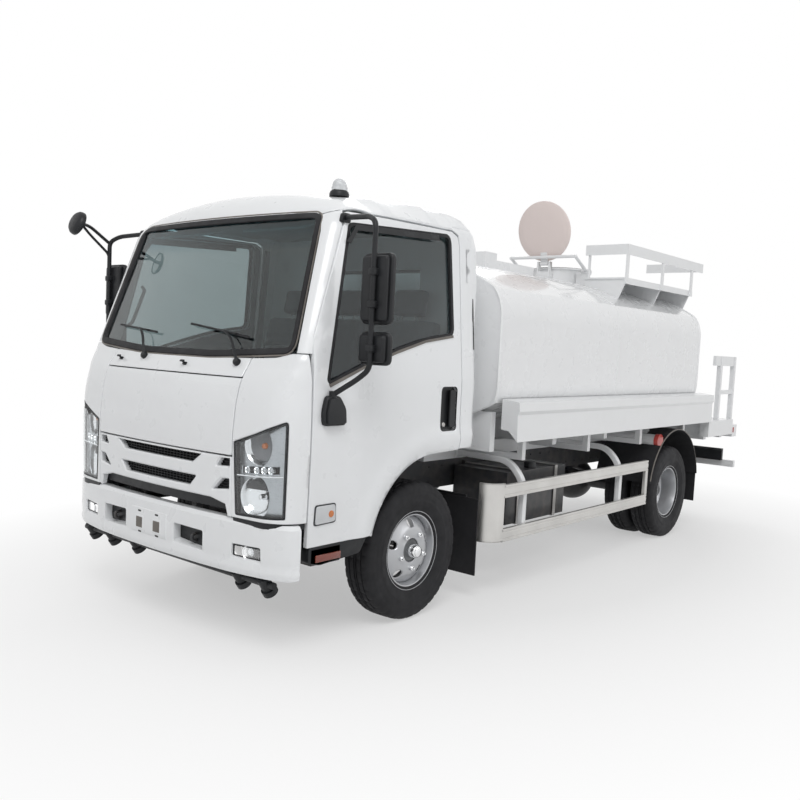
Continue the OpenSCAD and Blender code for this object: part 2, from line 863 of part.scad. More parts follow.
module cab_solid(i) {
    intersection() {
        side_extrude(-half_cab - 50, half_cab + 50)
        cab_side(i);
        front_extrude(-600, 1300)
        cab_front_outline(i);
        translate([0, 0, 400])
        linear_extrude(height = roof_height)
        cab_plan(i);
        shield_barrel(i);
    }
}

// Curve of the windscreen across the cab: a large leaning cylinder, from its slope line inward
shield_radius = 6400;
shield_base_x = 1017;
shield_top_x = 762;
shield_lean = atan2(shield_base_x - shield_top_x, shield_top_z - cowl_z);
module shield_barrel(i) {
    translate([shield_base_x, 0, cowl_z])
    rotate([0, -shield_lean, 0])
    translate([-shield_radius, 0, -1100])
    cylinder(r = shield_radius - i, h = 2600, $fn = 720);
}

module cab_skin() {
    difference() {
        cab_solid(0);
        cab_solid(cab_wall);
    }
}

// Wheel arch under the cab side
module arch_cut(grow) {
    side_extrude(-half_cab - 100, half_cab + 100)
    union() {
        translate([-60, 430])
        circle(r = 505 + grow, $fn = 96);
        translate([-700, 300])
        square([640, 645 + grow]);
        translate([-700, 300])
        square([1140, 241]);
    }
}

// Depth of a door's zone in from the cab's side
door_depth = 125;

// Door outline in (x, z), grown by g all round
door_front = 893;
door_back = -265;
module door_outline(g) {
    polygon([[door_front + g, sill_z - g], [door_front + g, 1330], [door_front - 9 + g, 1520],
        [652 + g, roof_height - 221 + g * 0.5], [615 + g * 0.5, roof_height - 198 + g],
        [-200, roof_height - 190 + g], [door_back + 14 - g * 0.7, roof_height - 212 + g * 0.7],
        [door_back - g, roof_height - 262], [door_back - g, sill_z - g]]);
}

// Window outline in (x, z)
module window_outline() {
    polygon([[640, roof_height - 268], [612, roof_height - 256], [-150, roof_height - 214],
        [-176, roof_height - 226], [-186, roof_height - 255], [-194, 1612], [-174, 1582], [60, 1548],
        [300, 1484], [560, 1402], [785, 1318], [808, 1338]]);
}

// Opening of the windscreen in (y, z)
module windscreen_outline() {
    polygon([[-(half_cab - 74), 1462], [-300, cowl_z + 12], [300, cowl_z + 12], [half_cab - 74, 1462],
        [half_cab - 157, roof_height - 236], [half_cab - 195, roof_height - 216],
        [-(half_cab - 195), roof_height - 216], [-(half_cab - 157), roof_height - 236]]);
}

module rear_window_outline() {
    translate([-480, 1560])
    square([960, 420]);
}

corner_bottom = 673;
front_split_x = door_front + door_gap;
front_split_z = 1462;
roof_split_z = roof_height - 165;
module front_zone() {
    block([front_split_x, -1200, panel_bottom], [1300, 1200, front_split_z]);
    block([front_split_x, 600, corner_bottom], [1050, 1200, panel_bottom]);
    block([front_split_x, -1200, corner_bottom], [1050, -600, panel_bottom]);
}

module roof_zone() {
    block([-600, -1200, roof_split_z], [1300, 1200, roof_height + 50]);
    block([500, -half_cab + 190, roof_height - 216], [1300, half_cab - 190, roof_split_z + 1]);
}

module back_zone() {
    block([-500, -half_cab + cab_wall + 5, 944],
        [-430 + cab_wall + 60, half_cab - cab_wall - 5, roof_split_z]);
}

module cab_front_panel() {
    color("#eef0f0")
    at_front_axle()
    difference() {
        intersection() {
            cab_skin();
            front_zone();
        }
        headlamp_prism(1);
        front_extrude(600, 1300)
        windscreen_outline();
        // Grille slots
        slot(340, 897, 957);
        slot(285, 812, 842);
        both_sides()
        block([1094, 330, 812], [1200, 560, 842]);
    }
}

module slot(half_width, z0, z1) {
    block([1094, -half_width, z0], [1200, half_width, z1]);
}

// Front prism of a headlamp
module headlamp_prism(s) {
    both_sides()
    front_extrude(900, 1200)
    polygon([[640 - s, 706], [half_cab - 22, 696], [half_cab - 14, 1159], [640 - s, 1031]]);
}

module headlamps() {
    color("#dfe6ea")
    at_front_axle()
    intersection() {
        difference() {
            cab_solid(2);
            cab_solid(cab_wall);
        }
        headlamp_prism(0);
        block([front_split_x + 4, -1200, panel_bottom], [1300, 1200, 1300]);
    }
}

module cab_back_panel() {
    color("#eef0f0")
    at_front_axle()
    difference() {
        intersection() {
            cab_skin();
            back_zone();
        }
        front_extrude(-500, -300)
        rear_window_outline();
    }
}

module cab_roof() {
    color("#eef0f0")
    at_front_axle()
    difference() {
        intersection() {
            cab_skin();
            roof_zone();
        }
        side_extrude(half_cab - door_depth - door_gap, half_cab + 10)
        door_outline(door_gap);
        side_extrude(-half_cab - 10, -half_cab + door_depth + door_gap)
        door_outline(door_gap);
    }
}

module cab_side_frames() {
    color("#eef0f0")
    at_front_axle()
    difference() {
        intersection() {
            cab_skin();
            block([-600, -1200, sill_z], [1300, 1200, roof_split_z]);
        }
        front_zone();
        roof_zone();
        back_zone();
        side_extrude(half_cab - door_depth - door_gap, half_cab + 10)
        door_outline(door_gap);
        side_extrude(-half_cab - 10, -half_cab + door_depth + door_gap)
        door_outline(door_gap);
        front_extrude(600, 1300)
        windscreen_outline();
        arch_cut(0);
        block([850, -1200, sill_z - 1], [1300, 1200, panel_bottom]);
    }
}

module cab_glass() {
    color("#7f9296", 0.5)
    at_front_axle() {
        intersection() {
            difference() {
                cab_solid(12);
                cab_solid(12 + glass_thickness);
            }
            front_extrude(600, 1300)
            windscreen_outline();
            block([600, -1200, cowl_z], [1300, 1200, roof_height]);
        }
        intersection() {
            difference() {
                cab_solid(12);
                cab_solid(12 + glass_thickness);
            }
            front_extrude(-500, -300)
            rear_window_outline();
        }
    }
}

// Floor with its raised rear half over the engine, and the step wells at the doors
floor_half = half_cab - cab_wall - moving_gap;
arm_low = tilt_y - tilt_arm / 2;
module cab_floor() {
    color("#3b3e40")
    at_front_axle() {
        difference() {
            side_extrude(-floor_half + 60, floor_half - 60)
            polygon([[1114 - cab_wall - 4, floor_z], [1114 - cab_wall - 4, floor_z + floor_thickness],
                [raised_floor_x + floor_thickness, floor_z + floor_thickness],
                [raised_floor_x + floor_thickness, raised_floor_z + floor_thickness],
                [-430 + cab_wall, raised_floor_z + floor_thickness], [-430 + cab_wall, raised_floor_z],
                [raised_floor_x, raised_floor_z], [raised_floor_x, floor_z]]);
            difference() {
                block([600, -1200, 600], [1300, 1200, 1200]);
                cab_solid(cab_wall + 4);
            }
        }
        both_sides() {
            // Step well and entry step
            block([455, floor_half - 280, 560], [467, floor_half - 60, floor_z]);
            block([467, floor_half - 280, 560], [880, floor_half - 268, floor_z]);
            block([467, floor_half - 268, 560], [880, floor_half - 60, 572]);
            block([665, half_cab - 140, 458], [860, half_cab - 12, 534]);
            block([700, half_cab - 138, 534], [820, half_cab - 118, 562]);
            // Hinge arm that reaches down to the tilting pin
            difference() {
                union() {
                    block([1008, arm_low, tilt_z], [1052, arm_low + tilt_arm, floor_z + 2]);
                    translate([1030, 0, tilt_z])
                    rod_y(22, arm_low, arm_low + tilt_arm);
                }
                translate([1030, 0, tilt_z])
                rod_y(cab_pin_radius + pin_clearance, arm_low - 1, arm_low + tilt_arm + 1);
            }
        }
    }
}

module roof_lamp() {
    color("#b9c4c8")
    at_front_axle()
    difference() {
        translate([420, 560, roof_height - 62]) {
            cylinder(r = 42, h = 32);
            translate([0, 0, 40])
            sphere(r = 38);
        }
        cab_solid(0);
    }
}

// ---------------------------------------------------------------- cab interior

seat_z = raised_floor_z + floor_thickness;
seat_back_x = -118;
module seat(y, width) {
    block([seat_back_x, y - width / 2, seat_z], [seat_back_x + 470, y + width / 2, seat_z + 130]);
    translate([seat_back_x, 0, seat_z + 100])
    rotate([0, -12, 0])
    block([-110, y - width / 2, 0], [0, y + width / 2, 560]);
    translate([seat_back_x, 0, seat_z + 100])
    rotate([0, -12, 0])
    block([-95, y - 120, 570], [-15, y + 120, 740]);
    translate([seat_back_x, 0, seat_z + 100])
    rotate([0, -12, 0])
    block([-62, y - 60, 559], [-48, y + 60, 571]);
}

module seats() {
    color("#4a4d50")
    at_front_axle() {
        seat(480, 480);
        seat(-480, 480);
        seat(-10, 420);
    }
}

module dashboard() {
    color("#54585c")
    at_front_axle()
    intersection() {
        side_extrude(-half_cab + 80, half_cab - 80)
        polygon([[1040, floor_z + 140], [1040, 1240], [985, cowl_z - 55], [900, cowl_z - 45], [740, 1330],
            [690, 1240], [760, 1120], [860, floor_z + 140]]);
        cab_solid(cab_wall + 6);
        block([0, -1200, 0], [1300, 1200, 2000]);
    }
    // Steering column
    color("#2a2c2e")
    at_front_axle()
    bar_between([860, 480, 1060], [622, 480, 1300], 32);
}

module steering_wheel() {
    color("#232527")
    at_front_axle()
    translate([596, 480, 1326])
    rotate([0, -44.8, 0]) {
        rotate_extrude($fn = 96)
        translate([steering_wheel_radius, 0])
        circle(r = 15);
        cylinder(r = 62, h = 34, center = true);
        for (a = [30, 150, 270])
            rotate([0, 0, a])
            translate([0, -18, -7])
            cube([steering_wheel_radius, 36, 14]);
    }
}

// ---------------------------------------------------------------- doors and mirrors

module door() {
    difference() {
        intersection() {
            cab_skin();
            side_extrude(half_cab - door_depth, half_cab + 10)
            door_outline(0);
        }
        side_extrude(half_cab - 200, half_cab + 20)
        window_outline();
        arch_cut(0);
        block([door_back + 18, half_cab - 12, 1062], [door_back + 78, half_cab + 10, 1298]);
    }
}

module door_glass() {
    intersection() {
        difference() {
            cab_solid(14);
            cab_solid(14 + glass_thickness);
        }
        side_extrude(half_cab - 200, half_cab + 20)
        window_outline();
    }
}

// Mirror pole along the door's front edge, with two heads
mirror_y = half_cab + 187;
module mirror_set() {
    bent_bar([[640, half_cab - 95, roof_height - 232], [700, mirror_y - 60, roof_height - 247],
        [730, mirror_y, roof_height - 280], [730, mirror_y, 1400], [745, mirror_y - 60, 1350],
        [790, half_cab + 4, 1268]], 14);
    for (head = [[1608, 1936], [1420, 1574]])
        block([656, mirror_y - 105, head[0]], [722, mirror_y + 78, head[1]]);
    block([690, half_cab - 12, 1125], [838, half_cab + 24, 1268]);
}

module left_door() {
    color("#eef0f0")
    at_front_axle()
    door();
}

module left_door_glass() {
    color("#7f9296", 0.5)
    at_front_axle()
    door_glass();
}

module left_mirror() {
    color("#1f2123")
    at_front_axle()
    difference() {
        mirror_set();
        cab_solid(0);
    }
}

module right_door() {
    color("#eef0f0")
    at_front_axle()
    mirror([0, 1, 0])
    door();
}

module right_door_glass() {
    color("#7f9296", 0.5)
    at_front_axle()
    mirror([0, 1, 0])
    door_glass();
}

// The right mirror also carries a round mirror ahead of the windscreen
module right_mirror() {
    color("#1f2123")
    at_front_axle()
    mirror([0, 1, 0])
    difference() {
        union() {
            mirror_set();
            bent_bar([[730, mirror_y, roof_height - 290], [860, mirror_y + 10, roof_height - 200],
                [995, mirror_y - 50, roof_height - 195]], 12);
            translate([995, mirror_y - 70, roof_height - 200])
            rotate([0, 70, 0])
            cylinder(r = 72, h = 40, center = true);
        }
        cab_solid(0);
    }
}

// ---------------------------------------------------------------- wheels

rim_half = 70;
flange_radius = rim_radius + 21;
// Half section of a tyre, in (radius, width) from its middle
module tyre_section() {
    r = rim_radius;
    w = tyre_width / 2;
    polygon([[r, -rim_half], [r + 22, -rim_half], [r + 36, -w + 14], [(r + tyre_radius) / 2, -w],
        [tyre_radius - 38, -w + 2], [tyre_radius - 10, -w + 14], [tyre_radius, -w + 34],
        [tyre_radius, w - 34], [tyre_radius - 10, w - 14], [tyre_radius - 38, w - 2],
        [(r + tyre_radius) / 2, w], [r + 36, w - 14], [r + 22, rim_half], [r, rim_half]]);
}

module tyre() {
    rotate([90, 0, 0])
    rotate_extrude($fn = 96)
    tyre_section();
}

// Rim barrel about the Y axis
module rim_barrel() {
    rotate([90, 0, 0])
    rotate_extrude($fn = 96)
    polygon([[rim_radius - 12, -rim_half - 9], [flange_radius, -rim_half - 9], [flange_radius, -rim_half],
        [rim_radius, -rim_half], [rim_radius, rim_half], [flange_radius, rim_half],
        [flange_radius, rim_half + 9], [rim_radius - 12, rim_half + 9]]);
}

// Disc and hub of a front wheel, bulging outward (towards +Y)
hub_bore = spindle_radius + pin_clearance;
module front_rim() {
    hub_start = king_pin_y + 44 + moving_gap + 22 + moving_gap - front_track / 2;
    rim_barrel();
    difference() {
        union() {
            translate([0, 0, 0])
            rotate([-90, 0, 0])
            rotate_extrude($fn = 96)
            polygon([[0, 58], [70, 58], [78, 66], [150, 62], [rim_radius - 12, 24], [rim_radius - 12, 12],
                [150, 48], [78, 50], [70, hub_start], [0, hub_start]]);
            rod_y(50, 50, 104);
        }
        rod_y(hub_bore, hub_start - 1, king_pin_y + 72 + spindle_length - front_track / 2 + 3);
    }
}

// Two barrels joined by discs that meet between them
rear_bore = rear_spindle_radius + pin_clearance;
module rear_rims() {
    for (s = [-1, 1])
        translate([0, s * twin_spacing / 2, 0])
        rim_barrel();
    difference() {
        rotate([-90, 0, 0])
        rotate_extrude($fn = 96)
        polygon([[0, -60], [90, -60], [90, -14], [130, -14], [rim_radius - 12, -(twin_spacing / 2 - 50)],
            [rim_radius - 12, -(twin_spacing / 2 - 64)], [142, 0], [rim_radius - 12, twin_spacing / 2 - 64],
            [rim_radius - 12, twin_spacing / 2 - 50], [130, 14], [85, 14], [85, 100], [0, 100]]);
        rod_y(rear_bore, -61, 63);
    }
}

module front_wheel_place() {
    translate([front_axle_x, front_track / 2, axle_height])
    children();
}

module rear_wheel_place() {
    translate([rear_axle_x, rear_hub_y, axle_height])
    children();
}

module front_left_rim() {
    color("#b9bcbe")
    front_wheel_place()
    front_rim();
}

module front_left_tyre() {
    color("#1b1c1d")
    front_wheel_place()
    tyre();
}

module front_right_rim() {
    color("#b9bcbe")
    mirror([0, 1, 0])
    front_wheel_place()
    front_rim();
}

module front_right_tyre() {
    color("#1b1c1d")
    mirror([0, 1, 0])
    front_wheel_place()
    tyre();
}

module twin_tyres() {
    for (s = [-1, 1])
        translate([0, s * twin_spacing / 2, 0])
        tyre();
}

module rear_left_rims() {
    color("#b9bcbe")
    rear_wheel_place()
    rear_rims();
}

module rear_left_tyres() {
    color("#1b1c1d")
    rear_wheel_place()
    twin_tyres();
}

module rear_right_rims() {
    color("#b9bcbe")
    mirror([0, 1, 0])
    rear_wheel_place()
    rear_rims();
}

module rear_right_tyres() {
    color("#1b1c1d")
    mirror([0, 1, 0])
    rear_wheel_place()
    twin_tyres();
}

frame_rails();
cross_members();
engine_block();
propeller_shaft();
front_axle();
rear_axle();
leaf_springs();
front_bumper();
tank();
manhole_neck();
tank_sills();
tank_bearers();
side_boxes();
top_deck();
rear_platform();
rear_railing();
tail_lamp_bar();
underrun_bar();
side_guards();
mudguards();
fuel_tank();
battery_box();
water_pump();
spray_bar();
exhaust();
cab_floor();
cab_front_panel();
cab_back_panel();
cab_roof();
cab_side_frames();
cab_glass();
headlamps();
roof_lamp();
seats();
dashboard();
steering_wheel();
left_door();
left_door_glass();
left_mirror();
right_door();
right_door_glass();
right_mirror();
left_knuckle();
right_knuckle();
front_left_rim();
front_left_tyre();
front_right_rim();
front_right_tyre();
rear_left_rims();
rear_left_tyres();
rear_right_rims();
rear_right_tyres();
manhole_lid();
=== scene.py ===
"""Looks of the tanker truck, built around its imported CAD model.

Shapes are worked out in millimetres from the ground under the front axle (+X forward, +Y left,
+Z up) and are moved into the frame, in metres, when each piece is made.
"""

import math

import bmesh
import bpy
import numpy as np
from mathutils import Matrix, Vector
from mathutils.geometry import delaunay_2d_cdt


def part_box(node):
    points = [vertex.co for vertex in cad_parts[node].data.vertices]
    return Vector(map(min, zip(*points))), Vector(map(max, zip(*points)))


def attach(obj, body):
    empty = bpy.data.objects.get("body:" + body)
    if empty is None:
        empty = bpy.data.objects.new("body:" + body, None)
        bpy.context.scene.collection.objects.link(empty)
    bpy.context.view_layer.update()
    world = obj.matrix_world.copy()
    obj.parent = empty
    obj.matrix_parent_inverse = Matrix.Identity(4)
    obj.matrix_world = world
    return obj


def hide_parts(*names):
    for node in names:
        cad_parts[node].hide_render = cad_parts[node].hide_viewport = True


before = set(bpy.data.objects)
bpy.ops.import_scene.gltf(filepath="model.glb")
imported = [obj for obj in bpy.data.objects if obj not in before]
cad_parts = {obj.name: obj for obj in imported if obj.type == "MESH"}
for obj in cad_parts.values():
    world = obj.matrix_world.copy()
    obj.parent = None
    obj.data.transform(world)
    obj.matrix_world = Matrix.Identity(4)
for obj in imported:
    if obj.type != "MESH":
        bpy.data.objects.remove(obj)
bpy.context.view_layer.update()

MM = 0.001


def box_mm(node):
    """A CAD node's lowest and highest corners, in mm from the ground under the front axle."""
    low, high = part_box(node)
    return (np.array(low) - ORIGIN) / MM, (np.array(high) - ORIGIN) / MM


def middle(node):
    low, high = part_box(node)
    return (np.array(low) + np.array(high)) / 2


WHEEL = middle("front_left_tyre")
ORIGIN = np.array((WHEEL[0], 0.0, 0.0))
REAR_X = (middle("rear_left_tyres")[0] - ORIGIN[0]) / MM
AXLE_Z = WHEEL[2] / MM
TYRE_R = AXLE_Z
FRONT_Y = WHEEL[1] / MM
REAR_Y = middle("rear_left_tyres")[1] / MM

# ---------------------------------------------------------------- shapes: (corners, faces) pairs


def merged(*shapes):
    corners, faces, base = [], [], 0
    for points, polygons in shapes:
        corners.append(np.asarray(points, float).reshape(-1, 3))
        faces += [tuple(i + base for i in f) for f in polygons]
        base += len(corners[-1])
    return np.concatenate(corners), faces


def moved(shape, x=0, y=0, z=0):
    return np.asarray(shape[0], float) + (x, y, z), shape[1]


def turned(shape, axis, degrees, about=(0, 0, 0)):
    turn = np.array(Matrix.Rotation(math.radians(degrees), 3, axis))
    return (np.asarray(shape[0], float) - about) @ turn.T + about, shape[1]


def mirrored(shape):
    return np.asarray(shape[0], float) * (1, -1, 1), [tuple(reversed(f)) for f in shape[1]]


def on_side(shape, sign):
    """A shape drawn for the left side, put on the side that sign says."""
    return shape if sign > 0 else mirrored(shape)


def from_bmesh(bm):
    bm.verts.ensure_lookup_table()
    bm.verts.index_update()
    shape = (np.array([v.co[:] for v in bm.verts]), [tuple(v.index for v in f.verts) for f in bm.faces])
    bm.free()
    return shape


def eased(bm, r, segments=2, sharp=30):
    """Rounds the sharp edges of a bmesh."""
    if r > 0:
        edges = [e for e in bm.edges if e.is_manifold and e.calc_face_angle(0) > math.radians(sharp)]
        bmesh.ops.bevel(bm, geom=edges, offset=r, segments=segments, profile=0.5, affect="EDGES",
                        clamp_overlap=True)
    return bm


def box(low, high, r=0, segments=2):
    bm = bmesh.new()
    bmesh.ops.create_cube(bm, size=1)
    low, high = np.array(low, float), np.array(high, float)
    for v in bm.verts:
        v.co = (low + high) / 2 + np.array(v.co) * (high - low)
    return from_bmesh(eased(bm, r, segments))


AXES = {"x": (1, 2, 0), "y": (0, 2, 1), "z": (0, 1, 2)}


def prism(outline, axis, start, end, r=0, segments=2):
    """An outline extruded along an axis, with its sharp edges rounded."""
    a, b, c = AXES[axis]
    bm = bmesh.new()
    rings = []
    for along in (start, end):
        ring = []
        for u, v in outline:
            co = [0, 0, 0]
            co[a], co[b], co[c] = u, v, along
            ring.append(bm.verts.new(co))
        rings.append(ring)
    n = len(outline)
    bm.faces.new(rings[0])
    bm.faces.new(list(reversed(rings[1])))
    for i in range(n):
        bm.faces.new((rings[0][i], rings[0][(i + 1) % n], rings[1][(i + 1) % n], rings[1][i]))
    bmesh.ops.recalc_face_normals(bm, faces=bm.faces)
    return from_bmesh(eased(bm, r, segments))


def lathe(profile, axis="y", centre=(0, 0, 0), steps=48, closed=True):
    """A closed (radius, along) outline turned about an axis."""
    a, b, c = AXES[axis]
    corners, rings = [], []
    for radius, along in profile:
        start = len(corners)
        count = 1 if radius < 1e-6 else steps
        for k in range(count):
            t = 2 * math.pi * k / steps
            co = [0.0, 0.0, 0.0]
            co[a], co[b], co[c] = radius * math.cos(t), radius * math.sin(t), along
            corners.append(co)
        rings.append((start, count))
    faces = []
    pairs = list(zip(rings, rings[1:])) + ([(rings[-1], rings[0])] if closed else [])
    for (s0, c0), (s1, c1) in pairs:
        for k in range(steps):
            j = (k + 1) % steps
            if c0 > 1 and c1 > 1:
                faces.append((s0 + k, s0 + j, s1 + j, s1 + k))
            elif c0 > 1:
                faces.append((s0 + k, s0 + j, s1))
            elif c1 > 1:
                faces.append((s0, s1 + j, s1 + k))
    return np.array(corners) + centre, faces


def bent(points, radius, steps=5):
    """A path with each inner corner rounded to about that radius."""
    points = [Vector(p) for p in points]
    out = [points[0]]
    for before, here, after in zip(points, points[1:], points[2:]):
        a, b = (before - here), (after - here)
        reach = min(radius, a.length * 0.45, b.length * 0.45)
        a, b = here + a.normalized() * reach, here + b.normalized() * reach
        for k in range(steps + 1):
            t = k / steps
            out.append((1 - t) ** 2 * a + 2 * t * (1 - t) * here + t ** 2 * b)
    return [tuple(p) for p in out + [points[-1]]]


def circle(r, steps=12, x=0.0, y=0.0):
    return [(x + r * math.cos(2 * math.pi * k / steps), y + r * math.sin(2 * math.pi * k / steps))
            for k in range(steps)]


def sweep(path, section, closed=False):
    """A 2D section carried along a path of 3D points."""
    path = [Vector(p) for p in path]
    n, m = len(path), len(section)
    tangents = []
    for i in range(n):
        before = path[i - 1] if closed or i else path[0]
        after = path[(i + 1) % n] if closed or i < n - 1 else path[-1]
        tangents.append((after - before).normalized())
    up = Vector((0, 0, 1)) if abs(tangents[0].z) < 0.9 else Vector((1, 0, 0))
    side = tangents[0].cross(up).normalized()
    corners = []
    for p, t in zip(path, tangents):
        side = (side - t * side.dot(t)).normalized()
        over = side.cross(t)
        corners += [p + side * u + over * v for u, v in section]
    faces = []
    for i in range(n if closed else n - 1):
        j = (i + 1) % n
        faces += [(i * m + k, i * m + (k + 1) % m, j * m + (k + 1) % m, j * m + k) for k in range(m)]
    if not closed:
        faces += [tuple(reversed(range(m))), tuple(range((n - 1) * m, n * m))]
    return np.array([c[:] for c in corners]), faces


def tube(points, r, bend=40, steps=12, closed=False):
    return sweep(bent(points, bend) if bend and not closed else points, circle(r, steps), closed)


def rounded(outline, radius, steps=4):
    """A closed 2D outline with its corners rounded."""
    n = len(outline)
    radii = radius if isinstance(radius, (list, tuple)) else [radius] * n
    out = []
    for i, here in enumerate(outline):
        p, a, b = (np.array(v, float) for v in (here, outline[i - 1], outline[(i + 1) % n]))
        la, lb = np.linalg.norm(a - p), np.linalg.norm(b - p)
        reach = min(radii[i], la * 0.45, lb * 0.45)
        if reach < 1:
            out.append(tuple(p))
            continue
        start, end = p + (a - p) / la * reach, p + (b - p) / lb * reach
        for k in range(steps + 1):
            t = k / steps
            out.append(tuple((1 - t) ** 2 * start + 2 * t * (1 - t) * p + t ** 2 * end))
    return out


def dense(loop, step):
    """A closed 2D loop with points no further apart than step."""
    out = []
    for a, b in zip(loop, loop[1:] + loop[:1]):
        count = max(1, int(math.ceil(math.dist(a, b) / step)))
        out += [(a[0] + (b[0] - a[0]) * k / count,
                 a[1] + (b[1] - a[1]) * k / count) for k in range(count)]
    return out


def area(loop):
    return sum(a[0] * b[1] - b[0] * a[1] for a, b in zip(loop, loop[1:] + loop[:1])) / 2


def inset(loop, by):
    """Moves a loop to its left by a distance: inward if it runs anticlockwise."""
    p = np.array(loop)
    before, after = p - np.roll(p, 1, 0), np.roll(p, -1, 0) - p
    unit = lambda v: v / np.maximum(np.linalg.norm(v, axis=1, keepdims=True), 1e-9)
    normal = unit(unit(before) + unit(after))
    bend = np.sum(normal * unit(before), axis=1, keepdims=True).clip(0.6, 1)
    left = np.stack([-normal[:, 1], normal[:, 0]], 1)
    return [tuple(v) for v in p + left * by / bend]


def inside(points, loops):
    """Even-odd test of 2D points against closed loops."""
    x, y = points[:, 0], points[:, 1]
    result = np.zeros(len(points), bool)
    for loop in loops:
        p = np.array(loop)
        q = np.roll(p, -1, 0)
        for (x0, y0), (x1, y1) in zip(p, q):
            if y0 == y1:
                continue
            result ^= ((y0 > y) != (y1 > y)) & (x < (x1 - x0) * (y - y0) / (y1 - y0) + x0)
    return result


def panel(outline, surface, thickness, holes=(), start=0.0, step=30, ease=3, corner=0):
    """A skin on a surface. surface(points, depth) gives the 3D points that lie depth inside the outer
    face. The outline and the holes are 2D loops in the surface's own coordinates."""
    loops = []
    for k, loop in enumerate([outline] + list(holes)):
        loop = dense(rounded(loop, corner) if corner and k == 0 else list(loop), step)
        if (area(loop) > 0) != (k == 0):
            loop = loop[::-1]
        loops.append(loop)
    inner = [inset(loop, ease) for loop in loops]
    edge = np.array([p for loop in inner for p in loop])
    low, high = edge.min(0), edge.max(0)
    gx, gy = np.meshgrid(np.arange(low[0] + step / 2, high[0], step),
                         np.arange(low[1] + step / 2, high[1], step))
    grid = np.stack([gx.ravel(), gy.ravel()], 1)
    grid = grid[inside(grid, inner)]
    if len(grid):
        near = np.full(len(grid), np.inf)
        for p in edge:
            near = np.minimum(near, ((grid - p) ** 2).sum(1))
        grid = grid[near > (0.5 * step) ** 2]
    points = np.concatenate([edge, grid]) if len(grid) else edge
    edges, base, rings = [], 0, []
    for loop in inner:
        n = len(loop)
        rings.append(np.arange(base, base + n))
        edges += [(base + i, base + (i + 1) % n) for i in range(n)]
        base += n
    out = delaunay_2d_cdt([Vector(p) for p in points], edges, [], 0, 1e-7)
    flat = np.array([v[:] for v in out[0]])
    index = {}
    for new, olds in enumerate(out[3]):
        for old in olds:
            index[old] = new
    faces = np.array([f for f in out[2] if len(f) == 3])
    faces = faces[inside(flat[faces].mean(1), inner)]
    count = len(flat)
    shapes_v = [surface(flat, start), surface(flat, start + thickness)]
    all_faces = [tuple(f) for f in faces]
    all_faces += [tuple(int(i) + count for i in reversed(f)) for f in faces]
    base = 2 * count
    for loop, ring in zip(loops, rings):
        full = np.array(loop)
        n = len(loop)
        shapes_v += [surface(full, start + ease), surface(full, start + thickness)]
        top = [index[i] for i in ring]
        for i in range(n):
            j = (i + 1) % n
            all_faces += [(top[j], top[i], base + i, base + j),
                          (base + j, base + i, base + n + i, base + n + j),
                          (base + n + j, base + n + i, count + top[i], count + top[j])]
        base += 2 * n
    return np.concatenate(shapes_v), all_faces


class Piece:
    """One piece of the object while it is being made."""

    def __init__(self, name, body, slot=None, replaces=()):
        self.name, self.body, self.slot, self.replaces = name, body, slot, replaces
        self.corners, self.faces, self.looks, self.materials, self.base = [], [], [], [], 0

    def add(self, material, *shapes):
        if material not in self.materials:
            self.materials.append(material)
        look = self.materials.index(material)
        for corners, faces in shapes:
            self.corners.append(np.asarray(corners, float))
            self.faces += [tuple(int(i) + self.base for i in f) for f in faces]
            self.looks += [look] * len(faces)
            self.base += len(corners)
        return self

    def done(self, sharp=38):
        mesh = bpy.data.meshes.new(self.name)
        points = np.concatenate(self.corners) * MM + ORIGIN
        mesh.from_pydata([tuple(p) for p in points], [], self.faces)
        for material in self.materials:
            mesh.materials.append(material)
        mesh.polygons.foreach_set("material_index", self.looks)
        bm = bmesh.new()
        bm.from_mesh(mesh)
        bmesh.ops.recalc_face_normals(bm, faces=bm.faces)
        bm.to_mesh(mesh)
        bm.free()
        mesh.polygons.foreach_set("use_smooth", [True] * len(mesh.polygons))
        mesh.set_sharp_from_angle(angle=math.radians(sharp))
        mesh.update()
        obj = bpy.data.objects.new(self.name, mesh)
        bpy.context.scene.collection.objects.link(obj)
        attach(obj, self.body)
        if self.replaces:
            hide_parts(*self.replaces)
        return obj


# ---------------------------------------------------------------- materials


